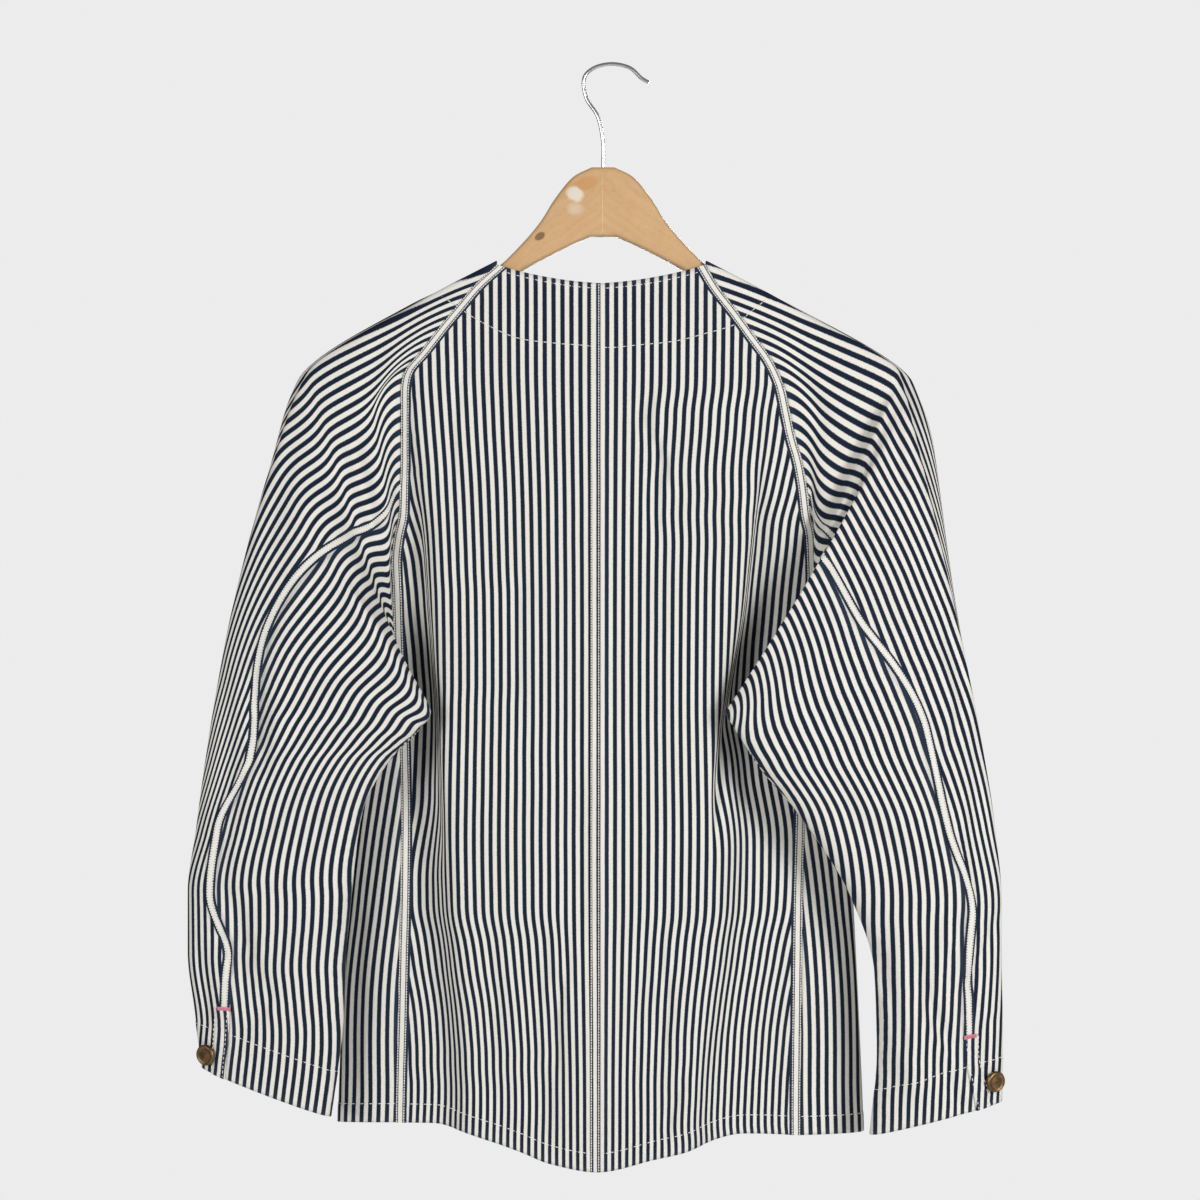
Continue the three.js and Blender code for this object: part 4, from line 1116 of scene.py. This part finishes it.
class Band:
    """A strip of places along a panel's seam: their points, cloth places and outward directions."""

    def __init__(self, points, cut, outward):
        self.points = points
        self.cut = cut
        self.outward = outward

    @classmethod
    def beside(cls, node, offsets, rows=slice(None), from_last=False, step_length=2.0):
        """The strip at the given distances in from a panel's first or last column."""
        whole = np.concatenate(panels[node], axis=-1)[rows]
        if from_last:
            whole = whole[:, ::-1]
        run = lengths_along(whole[..., :3], axis=1)
        strip = np.array([
            [[np.interp(offset, line, values[:, k]) for k in range(values.shape[1])] for offset in offsets]
            for line, values in zip(run, whole)
        ])
        long = lengths_along(strip[:, 0, :3])
        even = np.linspace(0, long[-1], round(long[-1] / step_length) + 1)
        flat = strip.reshape(len(strip), -1)
        fine = np.stack([np.interp(even, long, flat[:, k]) for k in range(flat.shape[1])], axis=-1)
        strip = fine.reshape(len(even), *strip.shape[1:])
        return cls(strip[..., :3], strip[..., 3:5], strip[..., 5:8])


def sheet_on(name, band, hint, lifts):
    """A strip of cloth lifted off the panel by the given amounts across it."""
    along = lengths_along(band.points, axis=0)[:, :1]
    lifts = np.array(lifts)[None]
    lift = lifts + waves(BAND_WAVES, along) * (lifts > 0)
    made = cloth_grid(name, band.points + band.outward * lift[..., None], band.cut, hint)
    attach(made, "root")
    return made


class Threadwork:
    """Stitches of one thread, as short arched pieces that sink into the cloth at both ends."""

    def __init__(self, name, finish, radius):
        self.name = name
        self.finish = finish
        self.curve = bpy.data.curves.new(name, "CURVE")
        self.curve.dimensions = "3D"
        self.curve.bevel_depth = radius * MM
        self.curve.bevel_resolution = 0
        self.curve.use_fill_caps = True

    def stitch(self, *places):
        spline = self.curve.splines.new("POLY")
        spline.points.add(len(places) - 1)
        for point, place in zip(spline.points, places):
            point.co = (*(np.asarray(place) * MM), 1)

    def row(self, line, outward, pitch, length, lift):
        """Even stitches along a line, with the direction out of the cloth along it."""
        run = lengths_along(line)
        count = int(run[-1] / pitch)

        def at(distance, values):
            return np.stack([np.interp(distance, run, values[:, k]) for k in range(3)], axis=-1)

        starts = (np.arange(count) + 0.5) * run[-1] / max(count, 1) - length / 2
        up = at(starts + length / 2, outward)
        begin = at(starts, line) + up * (lift - SINK)
        middle = at(starts + length / 2, line) + up * lift
        end = at(starts + length, line) + up * (lift - SINK)
        for places in zip(begin, middle, end):
            self.stitch(*places)

    def chain(self, band, column):
        self.row(band.points[:, column], band.outward[:, column], CHAIN_PITCH, CHAIN_LENGTH, CHAIN_LIFT)

    def lock(self, line, outward, lift=LOCK_LIFT):
        self.row(line, outward, LOCK_PITCH, LOCK_LENGTH, lift)

    def finished(self):
        curve_object(self.name, self.curve, self.finish)


# Felled seams: the centre back, then the raglan, side and sleeve seams
FELL_OFFSETS = [0.2, 0.9, 2.6, 4.6, 6.6, 8.3, 9.0]
FELL_LIFTS = [-0.3, FELL_LIFT, FELL_LIFT, FELL_LIFT, FELL_LIFT, FELL_LIFT, -0.3]


CENTRE_FELL_ROWS = 340
CENTRE_FELL_END = 0.6
CENTRE_FELL_EDGE = 1.2


def centre_fell():
    low = hem_at(CENTRE_BACK_X)[0] + CENTRE_FELL_END
    z = np.linspace(low, NECK_BACK_Z - CENTRE_FELL_END, CENTRE_FELL_ROWS)[:, None]
    x = CENTRE_BACK_X + CENTRE_FELL_EDGE - np.array(FELL_OFFSETS)[None] + 0 * z
    points = back_point(x, z + 0 * x)
    band = Band(points, np.stack([cloth_across(x, z + 0 * x), z + 0 * x], axis=-1),
                outward_of(points, BACKWARD))
    sheet_on("fell_centre_back", band, BACKWARD, FELL_LIFTS)
    thread = Threadwork("thread_centre_back", WHITE_THREAD, CHAIN_RADIUS)
    thread.chain(band, 2)
    thread.chain(band, 5)
    thread.finished()


def felled_seam(name, node, rows, from_last, columns, shift):
    """A band along a panel's edge, with its own stripes, and a row of chain stitches on two columns."""
    hint = FACING[node.split("_")[0]]
    band = Band.beside(node, FELL_OFFSETS, rows, from_last)
    band.cut[..., 0] = np.array(FELL_OFFSETS) + shift
    sheet_on(f"fell_{name}", band, hint, FELL_LIFTS)
    thread = Threadwork(f"thread_{name}", WHITE_THREAD, CHAIN_RADIUS)
    for column in columns:
        thread.chain(band, column)
    thread.finished()


# The columns that carry the stitches and how the band's own stripes are shifted
BODY_FELL = ((1, 4), -2)
SLEEVE_FELL = ((2, 4), -2.85)
centre_fell()
for side in SIGN:
    felled_seam(f"raglan_{side}", f"back_{side}", slice(SIDE_ROWS, None), True, *BODY_FELL)
    felled_seam(f"side_{side}", f"back_{side}", slice(0, SIDE_ROWS + 1), True, *BODY_FELL)
    vent_rows = round(VENT / SLEEVE_ROW)
    felled_seam(f"sleeve_{side}", f"sleeve_{side}_upper", slice(0, -vent_rows), False, *SLEEVE_FELL)


PLACKET_OFFSETS = [0.2, 0.4, 2, 5, 9, 12, 12.8]
PLACKET_LIFTS = [0.2, 1.3, 1.5, 1.3, 1.1, 0.9, -0.3]
PLACKET_ROWS = ((2, 1.55), (5, 1.0))
TACK_LIFT = 1.4
TACK_RISE = 0.2
TACK_SINK = 0.5


def placket(side):
    """The vent at the cuff: the upper piece's edge laps the under piece and is stitched down."""
    node = f"sleeve_{side}_upper"
    rows = slice(-round(VENT / SLEEVE_ROW) - 1, None)
    band = Band.beside(node, PLACKET_OFFSETS, rows)
    sheet_on(f"placket_{side}", band, BACKWARD, PLACKET_LIFTS)
    thread = Threadwork(f"thread_placket_{side}", WHITE_THREAD, LOCK_RADIUS)
    for column, lift in PLACKET_ROWS:
        thread.lock(band.points[:, column], band.outward[:, column], lift)
    thread.finished()
    tack = Threadwork(f"bar_tack_{side}", PINK_THREAD, FINE_RADIUS)
    start = band.points[0, 0]
    along = band.points[1, 0] - start
    along /= np.linalg.norm(along)
    wide = band.points[0, 4] - start
    wide /= np.linalg.norm(wide)
    up = band.outward[0, 2]
    for i in range(TACK_STITCHES):
        place = start + wide * (TACK_LENGTH * i / (TACK_STITCHES - 1) - 0.5) + up * TACK_LIFT
        lean = along * TACK_WIDTH / 2
        tack.stitch(place - lean - up * TACK_SINK, place - lean * 0.8 + up * TACK_RISE,
                    place + lean * 0.8 + up * TACK_RISE, place + lean - up * TACK_SINK)
    tack.finished()


for side in SIGN:
    placket(side)


def line_across(node, depth, from_end=False):
    """The line over a panel at a depth in from its first or last row, with its outward directions."""
    points, _, outward = panels[node]
    run = lengths_along(points, axis=0)
    if from_end:
        run = run[-1:] - run
        points, outward, run = points[::-1], outward[::-1], run[::-1]
    whole = np.concatenate([points, outward], axis=-1)
    line = np.array([
        [np.interp(depth, run[:, j], whole[:, j, k]) for k in range(6)] for j in range(whole.shape[1])
    ])
    return line[:, :3], line[:, 3:]


edge_thread = Threadwork("thread_edges", WHITE_THREAD, LOCK_RADIUS)
for side in SIGN:
    for node in (f"back_{side}", f"front_{side}"):
        edge_thread.lock(*line_across(node, HEM_DEPTH))
        edge_thread.lock(*line_across(node, NECK_TOPSTITCH, True))
    for piece in ("upper", "under"):
        edge_thread.lock(*line_across(f"sleeve_{side}_{piece}", CUFF_DEPTH, True))
    closing = Band.beside(f"front_{side}", [FRONT_TOPSTITCH, FACING_WIDTH])
    edge_thread.lock(closing.points[:, 0], closing.outward[:, 0])
    edge_thread.lock(closing.points[:, 1], closing.outward[:, 1])
edge_thread.finished()


FACES_AWAY = -0.2
NEIGHBOURS = 6
NEAR_ENOUGH = 0.2
FACING_LIFT = 0.3


def nearest_on(nodes, seen_x, seen_z):
    """Places on the side of some panels that the camera sees, given as they are seen."""
    points = np.concatenate([panels[node][0].reshape(-1, 3) for node in nodes])
    outward = np.concatenate([panels[node][2].reshape(-1, 3) for node in nodes])
    facing = outward[:, 1] < FACES_AWAY
    points = points[facing]
    outward = outward[facing]
    x, z = as_seen(points[:, 0], points[:, 1], points[:, 2])
    found = []
    for at_x, at_z in zip(seen_x, seen_z):
        away = np.hypot(x - at_x, z - at_z)
        best = np.argsort(away)[:NEIGHBOURS]
        weight = 1 / (away[best] + NEAR_ENOUGH) ** 2
        weight = (weight / weight.sum())[:, None]
        scale = (CAMERA_AWAY + np.sum(points[best, 1:2] * weight)) / CAMERA_AWAY
        y = np.sum(points[best, 1:2] * weight)
        place = (CAMERA_X + (at_x - CAMERA_X) * scale, y, CAMERA_Z + (at_z - CAMERA_Z) * scale)
        found.append(np.concatenate([place, np.sum(outward[best] * weight, axis=0)]))
    found = np.array(found)
    return found[:, :3], found[:, 3:]


facing_thread = Threadwork("thread_facing", WHITE_THREAD, LOCK_RADIUS)
line = smooth_line(FACING_LINE, 8)
behind = [node for node in panels if not node.startswith("front")]
facing_thread.lock(*nearest_on(behind, line[:, 0], line[:, 1]), FACING_LIFT)
facing_thread.finished()

# Each panel's cut in metres: width, length and area, with what is sewn along it
CUTS = {
    "back_left": (0.213, 0.7, 0.1226, ["fell_raglan_left", "fell_side_left", "fell_centre_back"]),
    "back_right": (0.209, 0.702, 0.1221, ["fell_raglan_right", "fell_side_right"]),
    "front_left": (0.297, 0.686, 0.1534, []),
    "front_right": (0.301, 0.696, 0.1547, []),
    "sleeve_left_upper": (0.4, 0.73, 0.1386, ["fell_sleeve_left", "placket_left"]),
    "sleeve_left_under": (0.141, 0.518, 0.0596, []),
    "sleeve_right_upper": (0.41, 0.755, 0.1466, ["fell_sleeve_right", "placket_right"]),
    "sleeve_right_under": (0.123, 0.534, 0.0543, []),
}
for node, (wide, long, area, sewn) in CUTS.items():
    side = "left" if "left" in node else "right"


# Hanger, hook and buttons
def hanger_wood():
    half = HANGER_TOP + HANGER_UNDER
    outline = [(HANGER_CENTRE_X + x, z) for x, z in half]
    outline += [(HANGER_CENTRE_X - x, z) for x, z in reversed(half)]
    loop = np.array(outline + outline[:1])
    corner = len(half)
    right = smooth_line(loop[:corner], 5)
    left = smooth_line(loop[corner:-1], 5)
    bm = bmesh.new()
    verts = [bm.verts.new((x * MM, -HANGER_THICK / 2 * MM, z * MM)) for x, z in np.vstack([right, left])]
    face = bm.faces.new(verts)
    grown = bmesh.ops.extrude_face_region(bm, geom=[face])
    moved = [v for v in grown["geom"] if isinstance(v, bmesh.types.BMVert)]
    bmesh.ops.translate(bm, vec=(0, HANGER_THICK * MM, 0), verts=moved)
    bmesh.ops.recalc_face_normals(bm, faces=bm.faces[:])
    rims = [e for e in bm.edges if abs(e.verts[0].co.y - e.verts[1].co.y) < 1e-6]
    bmesh.ops.bevel(bm, geom=rims, offset=HANGER_ROUND * MM, affect="EDGES", segments=5, profile=0.5,
                    material=-1, clamp_overlap=True)
    bmesh.ops.triangulate(bm, faces=[f for f in bm.faces if len(f.verts) > 4])
    made = to_object("hanger_arms", bm, WOOD)
    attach(made, "root")
    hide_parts("hanger_wood")


hanger_wood()


def hanger_hook():
    curve = bpy.data.curves.new("hook_wire", "CURVE")
    curve.dimensions = "3D"
    curve.bevel_depth = WIRE_RADIUS * MM
    curve.bevel_resolution = 4
    curve.use_fill_caps = True
    path = smooth_line(WIRE_PATH, 8)
    spline = curve.splines.new("POLY")
    spline.points.add(len(path) - 1)
    for point, (x, z) in zip(spline.points, path):
        point.co = (x * MM, 0, z * MM, 1)
    made = curve_object("hook_wire", curve, STEEL)
    made.data.polygons.foreach_set("use_smooth", [True] * len(made.data.polygons))
    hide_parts("hanger_hook")


hanger_hook()


def button(node, point, outward):
    """A shank button with a rolled rim, standing on the cloth."""
    low = BUTTON_GAP + BUTTON_SHANK
    shank = [(0, BUTTON_GAP), (BUTTON_SHANK_RADIUS, BUTTON_GAP), (BUTTON_SHANK_RADIUS, low)]
    rim = [(out * BUTTON_RADIUS, low + up * BUTTON_THICK) for out, up in BUTTON_RIM]
    bm = bmesh.new()
    verts = [bm.verts.new((x * MM, 0, z * MM)) for x, z in shank + rim]
    edges = [bm.edges.new(pair) for pair in zip(verts, verts[1:])]
    bmesh.ops.spin(bm, geom=verts + edges, cent=(0, 0, 0), axis=(0, 0, 1), angle=2 * math.pi, steps=32,
                   use_merge=True)
    bmesh.ops.remove_doubles(bm, verts=bm.verts[:], dist=1e-6)
    bmesh.ops.recalc_face_normals(bm, faces=bm.faces[:])
    turn = Vector((0, 0, 1)).rotation_difference(Vector(outward)).to_matrix().to_4x4()
    bmesh.ops.transform(bm, matrix=Matrix.Translation(Vector(point) * MM) @ turn, verts=bm.verts[:])
    made = to_object(f"metal_{node}", bm, BRONZE)
    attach(made, "root")
    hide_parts(node)


SMALL_WAY = 0.01


def body_outward(side, z, way):
    across = body_point(side, z, way + SMALL_WAY) - body_point(side, z, way - SMALL_WAY)
    up = body_point(side, z + 1, way) - body_point(side, z - 1, way)
    normal = -SIGN[side] * np.cross(across, up)
    return normal / np.linalg.norm(normal)


# Points of one buttonhole stitch: how far from the slot and how high above the cloth
HOLE_STITCH = [(0.25, 0.0), (0.9, 0.5), (HOLE_LIP, 0.35), (HOLE_LIP + 0.5, -0.2)]


def buttonhole(thread, z):
    """A worked slot in the left front: close stitches across both lips."""
    half = HOLE_LENGTH / 2
    for i in range(2 * HOLE_STITCHES):
        share = (i % HOLE_STITCHES + 0.5) / HOLE_STITCHES
        x = HOLE_OFFSET + lerp(-half, half, share)
        side_z = -1 if i >= HOLE_STITCHES else 1
        places = []
        for away, lift in HOLE_STITCH:
            place_z = z + side_z * away
            way = -(2 / math.pi) * np.arcsin(x / breadth(place_z)[1])
            point = body_point("left", place_z, way)
            places.append(point + FRONT_WARD * lift)
        thread.stitch(*places)


holes = Threadwork("thread_buttonholes", WHITE_THREAD, FINE_RADIUS)
for i in range(FRONT_BUTTONS):
    z = np.float64(FRONT_BUTTON_TOP_Z - i * FRONT_BUTTON_PITCH)
    way = np.float64(0)
    button(f"front_button_{i + 1}", body_point("left", z, way), body_outward("left", z, way))
    buttonhole(holes, z)
holes.finished()

for side, (reach, angle) in CUFF_BUTTON.items():
    reach = np.float64(reach)
    here = oval_point(side, reach, np.float64(angle))
    across = oval_point(side, reach, np.float64(angle + 2)) - oval_point(side, reach, np.float64(angle - 2))
    down = oval_point(side, reach + 2, np.float64(angle)) - oval_point(side, reach - 2, np.float64(angle))
    outward = np.cross(across, down)
    outward /= np.linalg.norm(outward)
    button(f"cuff_button_{side}", here, -outward if outward[1] > 0 else outward)

# Floor, light and camera
FLOOR_RADIUS = 1.9
FLOOR_Z = -1.4
bm = bmesh.new()
bmesh.ops.create_circle(bm, cap_ends=True, segments=64, radius=FLOOR_RADIUS)
bmesh.ops.translate(bm, vec=(0, 0, FLOOR_Z), verts=bm.verts[:])
floor = to_object("floor", bm, floor_finish(), False)


def area_light(name, place, aim, wide, high, power):
    lamp = bpy.data.lights.new(name, "AREA")
    lamp.shape = "RECTANGLE"
    lamp.size = wide
    lamp.size_y = high
    lamp.energy = power
    made = bpy.data.objects.new(name, lamp)
    made.location = place
    made.rotation_euler = (Vector(aim) - Vector(place)).to_track_quat("-Z", "Y").to_euler()
    bpy.context.scene.collection.objects.link(made)


# Name, place and aim in metres, width, height and power
LIGHTS = [
    ("key", (1.5, -1.8, 0), (0, 0, -0.5), 0.7, 0.9, 41),
    ("fill", (-1.5, -1.8, -0.1), (0, 0, -0.5), 0.7, 0.9, 24),
    ("front", (0.3, 2.5, 0.2), (0, 0, -0.45), 0.9, 0.9, 45),
]
for row in LIGHTS:
    area_light(*row)

world = bpy.data.worlds.new("studio")
world.use_nodes = True
bpy.context.scene.world = world
sky = world.node_tree
seen = sky.nodes["Background"]
seen.inputs["Color"].default_value = (*[BACKDROP] * 3, 1)
lit = sky.nodes.new("ShaderNodeBackground")
lit.inputs["Color"].default_value = (*[ROOM_LIGHT] * 3, 1)
rays = sky.nodes.new("ShaderNodeLightPath")
choice = sky.nodes.new("ShaderNodeMixShader")
sky.links.new(rays.outputs["Is Camera Ray"], choice.inputs[0])
sky.links.new(lit.outputs[0], choice.inputs[1])
sky.links.new(seen.outputs[0], choice.inputs[2])
sky.links.new(choice.outputs[0], sky.nodes["World Output"].inputs["Surface"])

lens = bpy.data.cameras.new("camera")
lens.sensor_width = SENSOR
lens.lens = SENSOR * CAMERA_AWAY / PICTURE_WIDTH
camera = bpy.data.objects.new("camera", lens)
camera.location = (CAMERA_X * MM, -CAMERA_AWAY * MM, CAMERA_Z * MM)
camera.rotation_euler = (math.pi / 2, 0, 0)
bpy.context.scene.collection.objects.link(camera)
bpy.context.scene.camera = camera
bpy.context.scene.view_settings.view_transform = "Standard"
